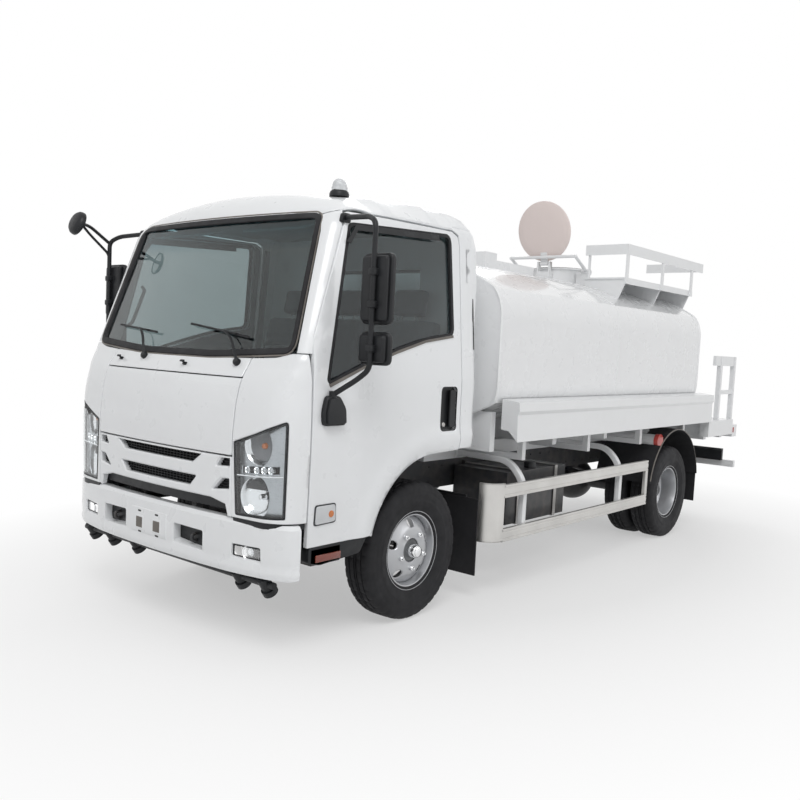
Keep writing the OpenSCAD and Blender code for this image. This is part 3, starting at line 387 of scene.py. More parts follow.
class Nodes:
    """A material's node tree with short calls for what the finishes share."""

    def __init__(self, name):
        self.material = bpy.data.materials.new(name)
        self.material.use_nodes = True
        self.tree = self.material.node_tree
        self.shader = self.tree.nodes["Principled BSDF"]
        self.place = self.new("TexCoord").outputs["Object"]

    def link(self, a, b):
        self.tree.links.new(a, b)
        return self

    def new(self, kind):
        return self.tree.nodes.new("ShaderNode" + kind)

    def maths(self, operation, a, b):
        node = self.new("Math")
        node.operation = operation
        self.link(a, node.inputs[0]).link(b, node.inputs[1])
        return node.outputs[0]

    def noise(self, scale, detail=3, stretch=None):
        node = self.new("TexNoise")
        node.inputs["Scale"].default_value = scale
        node.inputs["Detail"].default_value = detail
        if stretch:
            mapping = self.new("Mapping")
            mapping.inputs["Scale"].default_value = stretch
            self.link(self.place, mapping.inputs["Vector"]).link(mapping.outputs[0],
                                                                 node.inputs["Vector"])
        else:
            self.link(self.place, node.inputs["Vector"])
        return node.outputs["Fac"]

    def spread(self, value, low, high, start=0.3, end=0.7):
        node = self.new("MapRange")
        for name, number in zip(("From Min", "From Max", "To Min", "To Max"), (start, end, low, high)):
            node.inputs[name].default_value = number
        self.link(value, node.inputs["Value"])
        return node.outputs["Result"]

    def mix(self, fac, a, b):
        node = self.new("Mix")
        node.data_type = "RGBA"
        for socket, value in ((node.inputs[0], fac), (node.inputs[6], a), (node.inputs[7], b)):
            if isinstance(value, (tuple, list)):
                socket.default_value = (*value[:3], 1)
            elif isinstance(value, (int, float)):
                socket.default_value = value
            else:
                self.link(value, socket)
        return node.outputs[2]

    def bump(self, height, strength, distance):
        node = self.new("Bump")
        node.inputs["Strength"].default_value = strength
        node.inputs["Distance"].default_value = distance
        self.link(height, node.inputs["Height"]).link(node.outputs[0], self.shader.inputs["Normal"])
        return self

    def height(self, low, high):
        """0 below low and 1 above high, in metres above the ground."""
        split = self.new("SeparateXYZ")
        self.link(self.place, split.inputs[0])
        return self.spread(split.outputs[2], 0, 1, low, high)

    def set(self, **values):
        for name, value in values.items():
            self.shader.inputs[name.replace("_", " ")].default_value = value
        return self


def paint(name, colour, rough=0.3, coat=0.6, dusty=0.05, dust=(0.55, 0.52, 0.47), peel=0.03):
    """Gloss paint: slight cloudiness, orange peel, and road dust that thins out with height."""
    n = Nodes(name)
    clouds = n.noise(2.2, 4)
    tone = n.mix(n.spread(clouds, 0, 1), tuple(c * 0.975 for c in colour), colour)
    specks = n.spread(n.noise(14, 6), 0.0, dusty, 0.42, 0.75)
    fade = n.spread(n.height(0.25, 1.25), 1.0, 0.25, 0, 1)
    n.link(n.mix(n.maths("MULTIPLY", specks, fade), tone, dust), n.shader.inputs["Base Color"])
    n.link(n.spread(n.noise(9, 3), rough - 0.04, rough + 0.06), n.shader.inputs["Roughness"])
    n.bump(n.noise(420, 1), peel, 0.0004)
    return n.set(Coat_Weight=coat, Coat_Roughness=0.06).material


def plastic(name, colour, rough=0.5, grain=900, depth=0.15, metallic=0.0, vary=0.25, shine=0.3):
    """Moulded plastic or rubber with a fine grain and scuffed patches."""
    n = Nodes(name)
    n.link(n.mix(n.spread(n.noise(6, 4), 0, 1), tuple(c * (1 - vary) for c in colour),
                 tuple(min(1, c * (1 + vary)) for c in colour)), n.shader.inputs["Base Color"])
    n.link(n.spread(n.noise(22, 3), rough - 0.08, rough + 0.08), n.shader.inputs["Roughness"])
    n.bump(n.noise(grain, 2), depth, 0.0006)
    return n.set(Metallic=metallic, Specular_IOR_Level=shine).material


def metal(name, colour, rough=0.35, stretch=(1, 1, 40), vary=0.12):
    """Bare or plated metal with drawn streaks along it."""
    n = Nodes(name)
    n.link(n.mix(n.spread(n.noise(5, 4), 0, 1), tuple(c * (1 - vary) for c in colour), colour),
           n.shader.inputs["Base Color"])
    n.link(n.spread(n.noise(30, 3, stretch), rough - 0.08, rough + 0.1), n.shader.inputs["Roughness"])
    n.bump(n.noise(60, 2, stretch), 0.05, 0.0005)
    return n.set(Metallic=1.0).material


def lit_through(n, share=0.75):
    """Lets the lamps' light through a clear material, so that what is behind it is lit."""
    path = n.new("LightPath")
    clear = n.new("BsdfTransparent")
    clear.inputs[0].default_value = (share, share, share, 1)
    mix = n.new("MixShader")
    out = n.tree.nodes["Material Output"]
    n.link(path.outputs["Is Shadow Ray"], mix.inputs[0]).link(n.shader.outputs[0], mix.inputs[1])
    n.link(clear.outputs[0], mix.inputs[2]).link(mix.outputs[0], out.inputs["Surface"])
    return n.material


def glass(name, tint_and_shade, rough=0.0, share=0.75, band=None):
    """Clear or tinted glass; a darkened tint also paints in shade and dark reflections. band is the
    height where a blue-green shade band starts.
    """
    n = Nodes(name)
    if band:
        n.link(n.mix(n.height(band, band + 0.10), tint_and_shade, (0.20, 0.33, 0.36)),
               n.shader.inputs["Base Color"])
    else:
        n.link(n.mix(n.noise(3, 2), tint_and_shade, tuple(t * 0.97 for t in tint_and_shade)), n.shader.inputs["Base Color"])
    n.bump(n.noise(3, 1), 0.02, 0.0005)
    n.set(Roughness=rough, Transmission_Weight=1.0, IOR=1.45)
    return lit_through(n, share)


def fabric(name, colour, weave=900):
    """Woven cloth: fine threads both ways, with soft sheen."""
    n = Nodes(name)
    wave = n.new("TexWave")
    wave.inputs["Scale"].default_value = weave / 6
    wave.inputs["Distortion"].default_value = 2.5
    n.link(n.place, wave.inputs["Vector"])
    n.link(n.mix(n.spread(n.noise(40, 4), 0, 1), tuple(c * 0.75 for c in colour), colour),
           n.shader.inputs["Base Color"])
    n.bump(wave.outputs["Fac"], 0.35, 0.0008)
    n.link(n.spread(n.noise(60, 2), 0.82, 0.95), n.shader.inputs["Roughness"])
    return n.set(Sheen_Weight=0.4, Sheen_Roughness=0.5).material


def glow_glass(name, colour, rough=0.12):
    """Moulded lens: coloured, glossy and a little clear."""
    n = Nodes(name)
    n.link(n.mix(n.spread(n.noise(8, 2), 0, 1), tuple(c * 0.85 for c in colour), colour),
           n.shader.inputs["Base Color"])
    n.link(n.spread(n.noise(18, 2), rough, rough + 0.06), n.shader.inputs["Roughness"])
    n.bump(n.noise(240, 1), 0.12, 0.0006)
    return n.set(Transmission_Weight=0.25, Coat_Weight=0.5).material


WHITE = paint("cab_white", (0.83, 0.845, 0.86))
BODY = paint("body_white", (0.83, 0.84, 0.85), rough=0.36, coat=0.45, dusty=0.10)
TANK = paint("tank_white", (0.84, 0.85, 0.86), rough=0.28, coat=0.7, dusty=0.04, peel=0.05)
LID = paint("lid_pink", (0.80, 0.70, 0.67), rough=0.5, coat=0.1, dusty=0.10)
CHASSIS = paint("chassis_black", (0.022, 0.023, 0.026), rough=0.45, coat=0.15, dusty=0.35,
                dust=(0.16, 0.14, 0.12))
PUMP = paint("pump_blue", (0.13, 0.24, 0.36), rough=0.4, coat=0.3, dusty=0.25)
RED = paint("cap_red", (0.50, 0.05, 0.04), rough=0.35, coat=0.4, dusty=0.12)
CAST = plastic("cast_metal", (0.17, 0.175, 0.18), 0.6, 260, 0.5, metallic=0.5)
BLACK = plastic("black_plastic", (0.014, 0.015, 0.017), 0.42)
RUBBER = plastic("rubber", (0.016, 0.016, 0.018), 0.62, 500, 0.2)
TREAD = plastic("tyre_rubber", (0.018, 0.018, 0.020), 0.72, 350, 0.35)
TRIM = plastic("cabin_trim", (0.20, 0.205, 0.215), 0.6, 700, 0.25)
LINING = plastic("headlining", (0.50, 0.50, 0.49), 0.85, 500, 0.3, vary=0.06)
DARK_TRIM = plastic("dark_trim", (0.045, 0.047, 0.05), 0.55, 700, 0.25)
MOULDING = plastic("moulding", (0.16, 0.145, 0.13), 0.4, 600, 0.1)
SILVER = paint("wheel_silver", (0.50, 0.51, 0.53), rough=0.34, coat=0.5, dusty=0.12, peel=0.06)
SILVER.node_tree.nodes["Principled BSDF"].inputs["Metallic"].default_value = 0.6
STEEL = metal("bare_steel", (0.46, 0.45, 0.44), 0.42)
GUARD = metal("guard_aluminium", (0.66, 0.65, 0.63), 0.45, (60, 1, 1))
CHROME = metal("chrome", (0.86, 0.87, 0.88), 0.10, vary=0.03)
LAMP_GREY = metal("lamp_silver", (0.50, 0.52, 0.54), 0.32, vary=0.06)
MIRROR = metal("mirror_glass", (0.80, 0.82, 0.83), 0.09, vary=0.02)
# Windscreen: its green tint is darkened well past the glass's own, as painted shade of the cabin and
# painted reflection of dark surroundings; the band at the top is the glass's own shade band
SHIELD = glass("windscreen", (0.46, 0.53, 0.53), band=1.955)
WINDOW = glass("side_glass", (0.36, 0.41, 0.42), share=0.6)
LENS = glass("lamp_cover", (0.93, 0.95, 0.96), share=0.9)
AMBER = glow_glass("amber_lens", (0.80, 0.22, 0.03))
REFLECTOR = glow_glass("reflector", (0.30, 0.055, 0.03))
RED_LENS = glow_glass("red_lens", (0.55, 0.02, 0.02))
PEARL = glow_glass("clear_lens", (0.80, 0.82, 0.84))
CLOTH = fabric("seat_cloth", (0.14, 0.15, 0.17))

LOOKS = {
    "frame_rails": CHASSIS, "cross_members": CHASSIS, "engine_block": CAST, "propeller_shaft": STEEL,
    "front_axle": CHASSIS,
    "rear_axle": CHASSIS, "leaf_springs": CHASSIS, "front_bumper": WHITE, "tank": TANK,
    "manhole_neck": BODY,
    "tank_sills": BODY, "tank_bearers": BODY, "side_boxes": BODY, "top_deck": BODY,
    "rear_platform": BODY, "rear_railing": BODY,
    "tail_lamp_bar": BLACK, "underrun_bar": BODY, "side_guards": GUARD, "mudguards": RUBBER,
    "fuel_tank": CHASSIS, "battery_box": BLACK, "water_pump": PUMP, "spray_bar": BLACK,
    "exhaust": STEEL,
    "cab_floor": CHASSIS, "cab_front_panel": WHITE, "cab_back_panel": WHITE, "cab_roof": WHITE,
    "cab_side_frames": WHITE, "cab_glass": SHIELD, "headlamps": LENS, "roof_lamp": PEARL,
    "seats": CLOTH,
    "dashboard": TRIM, "steering_wheel": DARK_TRIM, "left_door": WHITE, "left_door_glass": WINDOW,
    "left_mirror": BLACK, "right_door": WHITE, "right_door_glass": WINDOW, "right_mirror": BLACK,
    "left_knuckle": CHASSIS, "right_knuckle": CHASSIS, "front_left_rim": SILVER,
    "front_right_rim": SILVER,
    "rear_left_rims": SILVER, "rear_right_rims": SILVER, "front_left_tyre": TREAD,
    "front_right_tyre": TREAD,
    "rear_left_tyres": TREAD, "rear_right_tyres": TREAD, "manhole_lid": LID}
for node, look in LOOKS.items():
    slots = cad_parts[node].data.materials
    if not len(slots):
        slots.append(look)
    for k in range(len(slots)):
        slots[k] = look


# ---------------------------------------------------------------- camera, floor and light

# Solved from the photo's perspective: lens in mm, turns in radians, place in metres
LENS_MM, SHIFT = 38.19, (0.0099, 0.0199)
YAW, PITCH, ROLL = -2.441, -0.0831, 0.0476
EYE = (3.6408 + ORIGIN[0], 3.7063, 1.5170)

camera = bpy.data.objects.new("camera", bpy.data.cameras.new("camera"))
bpy.context.scene.collection.objects.link(camera)
bpy.context.scene.camera = camera
camera.data.lens = LENS_MM
camera.data.shift_x, camera.data.shift_y = SHIFT
ahead = Vector((math.cos(YAW) * math.cos(PITCH), math.sin(YAW) * math.cos(PITCH), math.sin(PITCH)))
level = Vector((math.sin(YAW), -math.cos(YAW), 0))
upright = level.cross(ahead)
right = math.cos(ROLL) * level + math.sin(ROLL) * upright
above = -math.sin(ROLL) * level + math.cos(ROLL) * upright
camera.matrix_world = Matrix(((right.x, above.x, -ahead.x, EYE[0]),
                              (right.y, above.y, -ahead.y, EYE[1]),
                              (right.z, above.z, -ahead.z, EYE[2]), (0, 0, 0, 1)))
camera.data.clip_end = 200


def make_floor():
    """A pale floor: it keeps the truck's soft shadow and runs out to plain white."""
    mesh = bpy.data.meshes.new("floor")
    s = 60
    mesh.from_pydata([(-s, -s, 0), (s, -s, 0), (s, s, 0), (-s, s, 0)], [], [(0, 1, 2, 3)])
    floor = bpy.data.objects.new("floor", mesh)
    bpy.context.scene.collection.objects.link(floor)
    n = Nodes("floor")
    n.shader.inputs["Roughness"].default_value = 0.9
    n.link(n.mix(n.noise(0.6, 3), (0.80, 0.80, 0.80), (0.83, 0.83, 0.83)),
           n.shader.inputs["Base Color"])
    rays = n.new("LightPath").outputs
    glossy = n.maths("MAXIMUM", rays["Is Glossy Ray"], rays["Is Transmission Ray"])
    seen = n.maths("MAXIMUM", rays["Is Camera Ray"], glossy)
    # Distance from the truck, as an ellipse round it
    mapping = n.new("Mapping")
    mapping.inputs["Scale"].default_value = (1 / 5.2, 1 / 3.4, 0)
    length = n.new("VectorMath")
    length.operation = "LENGTH"
    n.link(n.place, mapping.inputs["Vector"]).link(mapping.outputs[0], length.inputs[0])
    far = n.spread(length.outputs["Value"], 0.45, 1.0, 0.45, 1.0)
    white = n.new("Emission")
    mix = n.new("MixShader")
    out = n.tree.nodes["Material Output"]
    n.link(n.maths("MULTIPLY", far, seen), mix.inputs[0]).link(n.shader.outputs[0], mix.inputs[1])
    n.link(white.outputs[0], mix.inputs[2]).link(mix.outputs[0], out.inputs["Surface"])
    mesh.materials.append(n.material)


def make_world(light=0.48):
    world = bpy.data.worlds.new("studio")
    world.use_nodes = True
    bpy.context.scene.world = world
    tree = world.node_tree
    background = tree.nodes["Background"]
    background.inputs[0].default_value = (1, 1, 1, 1)
    path = tree.nodes.new("ShaderNodeLightPath")
    seen = path.outputs["Is Camera Ray"]
    for name in ("Is Glossy Ray", "Is Transmission Ray"):
        node = tree.nodes.new("ShaderNodeMath")
        node.operation = "MAXIMUM"
        tree.links.new(seen, node.inputs[0])
        tree.links.new(path.outputs[name], node.inputs[1])
        seen = node.outputs[0]
    strength = tree.nodes.new("ShaderNodeMapRange")
    strength.inputs["To Min"].default_value = light
    strength.inputs["To Max"].default_value = 1.0
    tree.links.new(seen, strength.inputs["Value"])
    tree.links.new(strength.outputs[0], background.inputs[1])


def area_lamp(name, place, target, size, watts):
    lamp = bpy.data.objects.new(name, bpy.data.lights.new(name, "AREA"))
    lamp.data.shape = "DISK"
    lamp.data.size = size
    lamp.data.energy = watts
    lamp.location = place
    lamp.rotation_mode = "QUATERNION"
    lamp.rotation_quaternion = (Vector(target) - Vector(place)).to_track_quat("-Z", "Y")
    bpy.context.scene.collection.objects.link(lamp)


make_floor()
make_world()
area_lamp("key", (7.0, 5.0, 8.5), (0.5, 0, 1.0), 5.0, 400)
area_lamp("side", (-2.5, 9.0, 4.5), (-0.5, 0, 1.2), 5.0, 90)
area_lamp("back", (-7.0, -6.0, 7.0), (0, 0, 1.2), 5.0, 200)
bpy.context.scene.view_settings.view_transform = "Standard"


# ---------------------------------------------------------------- cab surface

SIDE = ((500, 1000, 1330, 2090, 2400), (905, 915, 915, 847, 819))
FRONT = ((500, 725, 900, 1063, 1200, 1290, 1329, 1360, 1400, 1415, 2150, 2500),
         (1110, 1112, 1115, 1116, 1103, 1084, 1070, 1052, 1026, 1017, 762, 640.6))
ROOF = ((-500, -250, 0, 338, 590, 1300), (2342, 2350, 2350, 2325, 2282, 2161))
FLARE = ((-10, 0, 15, 40, 75, 90, 120, 170), (-8, -3, 4, 9, 12, 13, 5, 0))
CAB_REAR = -430


def side_y(z):
    return np.interp(z, *SIDE)


def front_x(z, y=0):
    return np.interp(z, *FRONT) - y * y / 12000


def roundmax(a, b, r):
    return np.minimum(-r, np.maximum(a, b)) + np.hypot(np.maximum(a + r, 0), np.maximum(b + r, 0))


def cab_level(p):
    """How far outside the cab's outer face each point is, in mm; negative inside."""
    x, y, z = p[:, 0], np.abs(p[:, 1]), p[:, 2]
    lean = np.interp(z, (1330, 1430), (1.0, 0.945))
    front = (x - front_x(z, y)) * lean
    d = np.where(x > -60, np.hypot(np.maximum(x + 60, 0), z - 430) - 505, z - 935)
    side = y - side_y(z) - np.interp(d, *FLARE) * (z < 1200)
    roof = z - np.interp(x, *ROOF) + y * y / 8100
    level = roundmax(front, side, np.interp(z, (1300, 1420), (150, 75)))
    level = roundmax(level, CAB_REAR - x, 60)
    return roundmax(level, roof, 120)


def on_cab(origin, direction, depth, far=1300):
    """Where rays from inside the cab meet the face that lies depth inside its outer face."""
    near, far = np.zeros(len(origin)), np.full(len(origin), float(far))
    for _ in range(32):
        half = (near + far) / 2
        out = cab_level(origin + direction * half[:, None]) + depth > 0
        far = np.where(out, half, far)
        near = np.where(out, near, half)
    return origin + direction * near[:, None]


def side_map(sign):
    """Coordinates (x, z) on a side of the cab."""
    def surface(p, depth):
        zero = np.zeros(len(p))
        return on_cab(np.stack([p[:, 0], zero, p[:, 1]], 1), np.tile((0.0, sign, 0.0), (len(p), 1)),
                      depth)
    return surface


WRAP_X, WRAP_Y, WRAP_R = 900.0, 720.0, 190.0


def front_map(p, depth):
    """Coordinates (u, z) on the cab's front, with u running round its corners."""
    u, sign = np.abs(p[:, 0]), np.sign(p[:, 0])
    angle = np.maximum(u - WRAP_Y, 0) / WRAP_R
    origin = np.stack([np.full(len(p), WRAP_X), np.minimum(u, WRAP_Y) * sign, p[:, 1]], 1)
    return on_cab(origin, np.stack([np.cos(angle), np.sin(angle) * sign, np.zeros(len(p))], 1), depth)


def pillar_map(sign):
    """Coordinates (angle * 190, z) round a windscreen pillar."""
    def surface(p, depth):
        z = p[:, 1]
        origin = np.stack([np.interp(z, *FRONT) - 150, sign * (side_y(z) - 150), z], 1)
        angle = p[:, 0] / WRAP_R
        return on_cab(origin, np.stack([np.cos(angle), sign * np.sin(angle), np.zeros(len(p))], 1),
                      depth)
    return surface


def pillar_u(x, y, z):
    return WRAP_R * math.atan2(y - side_y(z) + 150, x - np.interp(z, *FRONT) + 150)


FAN_FRONT, FAN_REAR, FAN_Z, FAN_R = 450.0, -150.0, 1900.0, 400.0


def roof_map(p, depth):
    """Coordinates (s, t) over the roof: lengthways, fanned at both ends, and sideways."""
    s, t = p[:, 0], p[:, 1]
    a = (np.maximum(s - FAN_FRONT, 0) + np.minimum(s - FAN_REAR, 0)) / FAN_R
    b = t / FAN_R
    zero = np.zeros(len(p))
    origin = np.stack([np.clip(s, FAN_REAR, FAN_FRONT), zero, zero + FAN_Z], 1)
    return on_cab(origin, np.stack([np.cos(b) * np.sin(a), np.sin(b), np.cos(b) * np.cos(a)], 1), depth)


def roof_st(x, y, z):
    middle_x = min(max(x, FAN_REAR), FAN_FRONT)
    a = math.atan2(x - middle_x, z - FAN_Z)
    return middle_x + FAN_R * a, FAN_R * math.asin(y / math.dist((x, y, z), (middle_x, 0, FAN_Z)))


def corner_map(sign):
    """Coordinates (u, z) round a rear corner of the cab: u is x on the side, then runs round."""
    def surface(p, depth):
        u, z = p[:, 0], p[:, 1]
        angle = np.maximum(-330 - u, 0) / 110
        origin = np.stack([np.maximum(u, -330), sign * (side_y(z) - 110), z], 1)
        return on_cab(origin, np.stack([-np.sin(angle), sign * np.cos(angle), np.zeros(len(p))], 1),
                      depth)
    return surface


def flip(loop, sign=-1):
    return [(sign * a, b) for a, b in loop]


def arc(x, z, r, start, end, steps=10):
    return [(x + r * math.cos(math.radians(start + (end - start) * k / steps)),
             z + r * math.sin(math.radians(start + (end - start) * k / steps))) for k in range(steps + 1)]


# ---------------------------------------------------------------- cab skins

SIDES = (("left", 1), ("right", -1))
SKIN = 24
LAMP = [(602, 683), (905, 690), (907, 1150), (582, 1031)]
DOOR = ([(893, 548), (893, 1330), (884, 1520), (652, 2129), (615, 2152), (-200, 2160), (-251, 2138),
         (-265, 2088),
         (-265, 943)] + arc(-60, 430, 505, 90, 12.6, 14) + [(435, 548)])
WINDOW = rounded([(640, 2082), (612, 2094), (-150, 2136), (-176, 2124), (-186, 2095), (-194, 1612),
                  (-174, 1582),
                  (60, 1548), (300, 1484), (560, 1402), (785, 1318), (808, 1338)],
                 [18, 30, 40, 30, 30, 40, 40, 120, 300, 300, 30, 12])
HANDLE = rounded([(-222, 1062), (-86, 1062), (-86, 1298), (-222, 1298)], 22)
SHIELD_OPENING = [(841, 1462), (300, 1427), (-300, 1427), (-841, 1462), (-758, 2114), (-720, 2134),
                  (720, 2134), (758, 2114)]


def door_front_x(z):
    return np.interp(z, (1330, 1520, 2129), (893, 884, 652))


def grown(loop, by):
    """A loop moved outward by a distance."""
    return inset(loop, -by if area(loop) > 0 else by)


def make_front():
    hood_half = 572
    skin = Piece("front_skin", "cab", "cab_paint", ["cab_front_panel"])
    skin.add(WHITE, panel([(-hood_half, 963), (hood_half, 963), (hood_half, 1327), (-hood_half, 1327)],
                          front_map, SKIN, corner=10, step=36))
    # Grille panel: two rows of slots between winged bars
    wing = [(573, 668), (552, 668), (534, 724), (430, 745), (-430, 745), (-534, 724), (-552, 668),
            (-573, 668),
            (-573, 955), (573, 955)]
    rows = [[(-294, 901), (294, 901), (362, 950), (-362, 950)],
            [(-276, 783), (276, 783), (326, 836), (-326, 836)]]
    small = [[(468, 903), (560, 909), (560, 948), (500, 948)],
             [(444, 786), (558, 800), (558, 850), (506, 846)]]
    holes = [rounded(h, 8) for h in rows + small + [flip(h) for h in small]]
    skin.add(WHITE, panel(wing, front_map, 34, holes, step=28, ease=7))
    # Corners with the lamp openings, and the strip under the windscreen
    lamp = rounded(LAMP, [10, 10, 26, 10])
    for sign in (1, -1):
        outline = [(578, 671), (1016, 671), (1017, 1000), (1016, 1330), (1010, 1455), (946, 1455),
                   (800, 1437), (578, 1424)]
        skin.add(WHITE, panel(flip(outline, sign), front_map, SKIN, [flip(lamp, sign)], corner=6,
                              step=36))
    skin.add(WHITE, panel([(-572, 1333), (572, 1333), (572, 1424), (300, 1420), (-300, 1420),
                           (-572, 1424)],
                          front_map, SKIN, corner=6, step=30))
    skin.done()
    dark = Piece("front_backing", "cab", "black_plastic")
    dark.add(BLACK, panel([(-606, 690), (606, 690), (606, 1418), (-606, 1418)], front_map, 6, (), 40,
                          60))
    for low, high in ((900, 952), (784, 836)):
        for k in range(5):
            z = low + (high - low) * k / 4
            dark.add(BLACK, panel([(-600, z - 2), (600, z - 2), (600, z + 2), (-600, z + 2)], front_map,
                                  12, (), 28, 60, 1))
    for k in range(-14, 15):
        for low, high in ((896, 952), (780, 836)):
            u = k * 26 + 13
            if abs(u) < 345:
                dark.add(BLACK, panel([(u - 2, low), (u + 2, low), (u + 2, high), (u - 2, high)],
                                      front_map, 10, (), 29, 60, 1))
    # Trim under the lamps, down to the bumper
    for sign in (1, -1):
        dark.add(BLACK, panel(flip([(585, 640), (1012, 640), (1012, 670), (585, 688)], sign), front_map,
                              30, (), 6, 40))
    dark.done()


def bowl(centre, r, depth, squash=1.0):
    """A reflector opening towards +X."""
    profile = [(r, 0), (r + 3, 2), (r + 3, -2), (r * 0.96, -depth * 0.35 - 3),
               (r * 0.7, -depth * 0.8 - 3), (14, -depth - 6),
               (0, -depth - 6), (0, -depth), (12, -depth), (r * 0.66, -depth * 0.74),
               (r * 0.9, -depth * 0.33)]
    corners, faces = lathe(profile, "x", steps=32)
    return corners * (1, 1, squash) + centre, faces


def make_lamps():
    for side, sign in SIDES:
        p = Piece(side + "_headlamp", "cab", "lamp_glass", ["headlamps"] if sign > 0 else ())
        loop = rounded(LAMP, [10, 10, 26, 10])
        p.add(LENS, panel(flip(inset(loop, 5), sign), front_map, 3, (), 1, 30))
        p.add(BLACK, panel(flip(inset(loop, 1.5), sign), front_map, 8, [flip(inset(loop, 15), sign)], 2,
                           30, 2))
        p.add(LAMP_GREY, panel(flip(inset(loop, 4), sign), front_map, 4,
                               [flip(circle(92, 28, 722, 1020), sign),
              flip(circle(98, 28, 708, 776), sign),
              flip([(612, 884), (866, 898), (866, 932), (612, 914)], sign)], 36, 30))
        p.add(DARK_TRIM, panel(flip(inset(loop, 2), sign), front_map, 4, (), 92, 60))
        # Ledge between the upper and lower lamps, with four small lamps in it
        p.add(CHROME, panel(flip([(604, 872), (890, 886), (890, 893), (604, 879)], sign), front_map, 30,
                            (), 7, 40, 1))
        for k in range(4):
            spot = front_map(np.array([(sign * (644 + k * 58), 900 + k * 4)]), 48)[0]
            p.add(CHROME, bowl(spot + (10, 0, 0), 17, 12))
            p.add(PEARL, moved(lathe([(0, 8), (8, 5), (9, 0), (0, -2)], "x", steps=16),
                               *(spot + (4, 0, 0))))
        for u, z, r in ((722, 1020, 90), (708, 776, 96)):
            spot = front_map(np.array([(sign * u, z)]), 40)[0]
            p.add(CHROME, turned(bowl(spot, r, 52), "Z", sign * 12, spot))
            p.add(AMBER if z > 900 else CHROME,
                  moved(lathe([(0, 34), (12, 30), (16, 18), (16, 0), (0, 0)], "x", steps=20),
                        *(spot - (44, 0, 0))))
        p.done()


def make_roof():
    top = [roof_st(front_x(2134, y), y, 2134) for y in (0, 250, 500, 680)]
    edge = [(front_x(2140, 745), 745, 2140), (700, 800, 2158), (640, 836, 2168), (450, 838, 2170),
            (150, 838, 2170),
            (-150, 838, 2170), (-204, 838, 2172), (-215, 838, 2185), (-330, 838, 2185),
            (-400, 815, 2185),
            (-425, 700, 2185), (-430, 400, 2185), (-430, 0, 2185)]
    half = top + [roof_st(*p) for p in edge]
    loop = half + [(s, -t) for s, t in reversed(half[1:-1])]
    p = Piece("roof_skin", "cab", "cab_paint", ["cab_roof"])
    p.add(WHITE, panel(loop, roof_map, SKIN, step=42, ease=4))
    p.add(LINING, panel(inset(loop, 14), roof_map, 14, (), SKIN + 4, 60))
    p.done()


def make_sides():
    p = Piece("side_frame_skin", "cab", "cab_paint", ["cab_side_frames"])
    for sign in (1, -1):
        # Windscreen pillar
        levels = np.linspace(1459, 2130, 9)
        half = [np.interp(z, (1462, 2114, 2134), (841, 758, 738)) for z in levels]
        shield = [(pillar_u(front_x(z, y), y, z), z) for y, z in zip(half, levels)]
        door = [(pillar_u(door_front_x(z) + 8, side_y(z), z), z) for z in levels]
        door[-1] = (door[-1][0] - 4, 2156)
        loop = shield[::-1] + door
        p.add(WHITE, panel(loop, pillar_map(sign), SKIN, step=30))
        p.add(TRIM, panel(grown(loop, -6), pillar_map(sign), 16, (), SKIN + 2, 60))
        # Rear quarter behind the door, round to the flat rear wall
        rear = []
        for z in np.linspace(950, 2185, 14):
            us = np.linspace(-380, -520, 141)
            at = corner_map(sign)(np.stack([us, np.full(141, z)], 1), 0)
            past = (np.abs(at[:, 1]) < 866) & (at[:, 0] < -384)
            rear.append((float(us[np.argmax(past)]), z))
        front = [(-206, 2185), (-208, 2168), (-262, 2146), (-273, 2088), (-273, 950)]
        loop = rear + front
        p.add(WHITE, panel(loop, corner_map(sign), SKIN, step=30))
        p.add(TRIM, panel([(-400, 1010), (-280, 1010), (-280, 2120), (-380, 2120)], corner_map(sign),
                          12, (), SKIN + 2, 60))
        # Ventilation slot on the corner
        p.add(BLACK, panel([(-404, 1512), (-386, 1512), (-386, 1804), (-404, 1804)], corner_map(sign),
                           5, (), -2, 30))
    p.done()


def make_doors():
    for side, sign in SIDES:
        body = side + "_door_body"
        surface = side_map(sign)
        p = Piece(side + "_door_skin", body, "cab_paint", [side + "_door"])
        p.add(WHITE, panel(rounded(DOOR, [8] * 9 + [0] * 15 + [8]), surface, SKIN, [WINDOW, HANDLE],
                           step=36))
        p.add(TRIM, panel(inset(DOOR, 26), surface, 14, [grown(WINDOW, 8)], SKIN + 3, 50))
        # Armrest and inner pull
        rest = prism(rounded([(120, 1180), (620, 1215), (620, 1260), (120, 1225)], 16), "y", 812, 868,
                     8)
        p.add(DARK_TRIM, on_side(rest, sign))
        p.done()
        # Seals, moulding, visor, handle
        q = Piece(side + "_door_trim", body, "black_plastic")
        q.add(RUBBER, panel(grown(WINDOW, 5), surface, 14, [grown(WINDOW, -16)], -2, 26, 2))
        belt = [(-190, 1574), (60, 1538), (300, 1474), (560, 1392), (790, 1306), (800, 1320),
                (562, 1406), (303, 1488),
                (62, 1552), (-188, 1588)]
        q.add(MOULDING, panel(belt, surface, 8, (), -5, 26, 2))
        visor = [(-67, 2092), (-60, 2122), (600, 2088), (668, 2000), (640, 1992), (588, 2062)]
        q.add(BLACK, panel(visor, surface, 4, (), -14, 26, 1))
        # Handle: a dark cup with a grip across it
        q.add(BLACK, panel(grown(HANDLE, -1), surface, 4, (), 17, 20, 1))
        q.add(BLACK, panel(grown(HANDLE, 5), surface, 8, [HANDLE], -2, 20, 1))
        grip = panel(rounded([(-212, 1076), (-158, 1076), (-158, 1284), (-212, 1284)], 16), surface, 10,
                     (), -6, 20, 3)
        q.add(BLACK, grip)
        lock = lathe([(0, 8), (11, 8), (14, 5), (14, -6), (0, -6)], "y", (-122, 0, 1092), 24)
        lock = moved(lock, 0, surface(np.array([(-122.0, 1092.0)]), 14)[0][1] * sign, 0)
        q.add(STEEL, on_side(lock, sign))
        q.done()


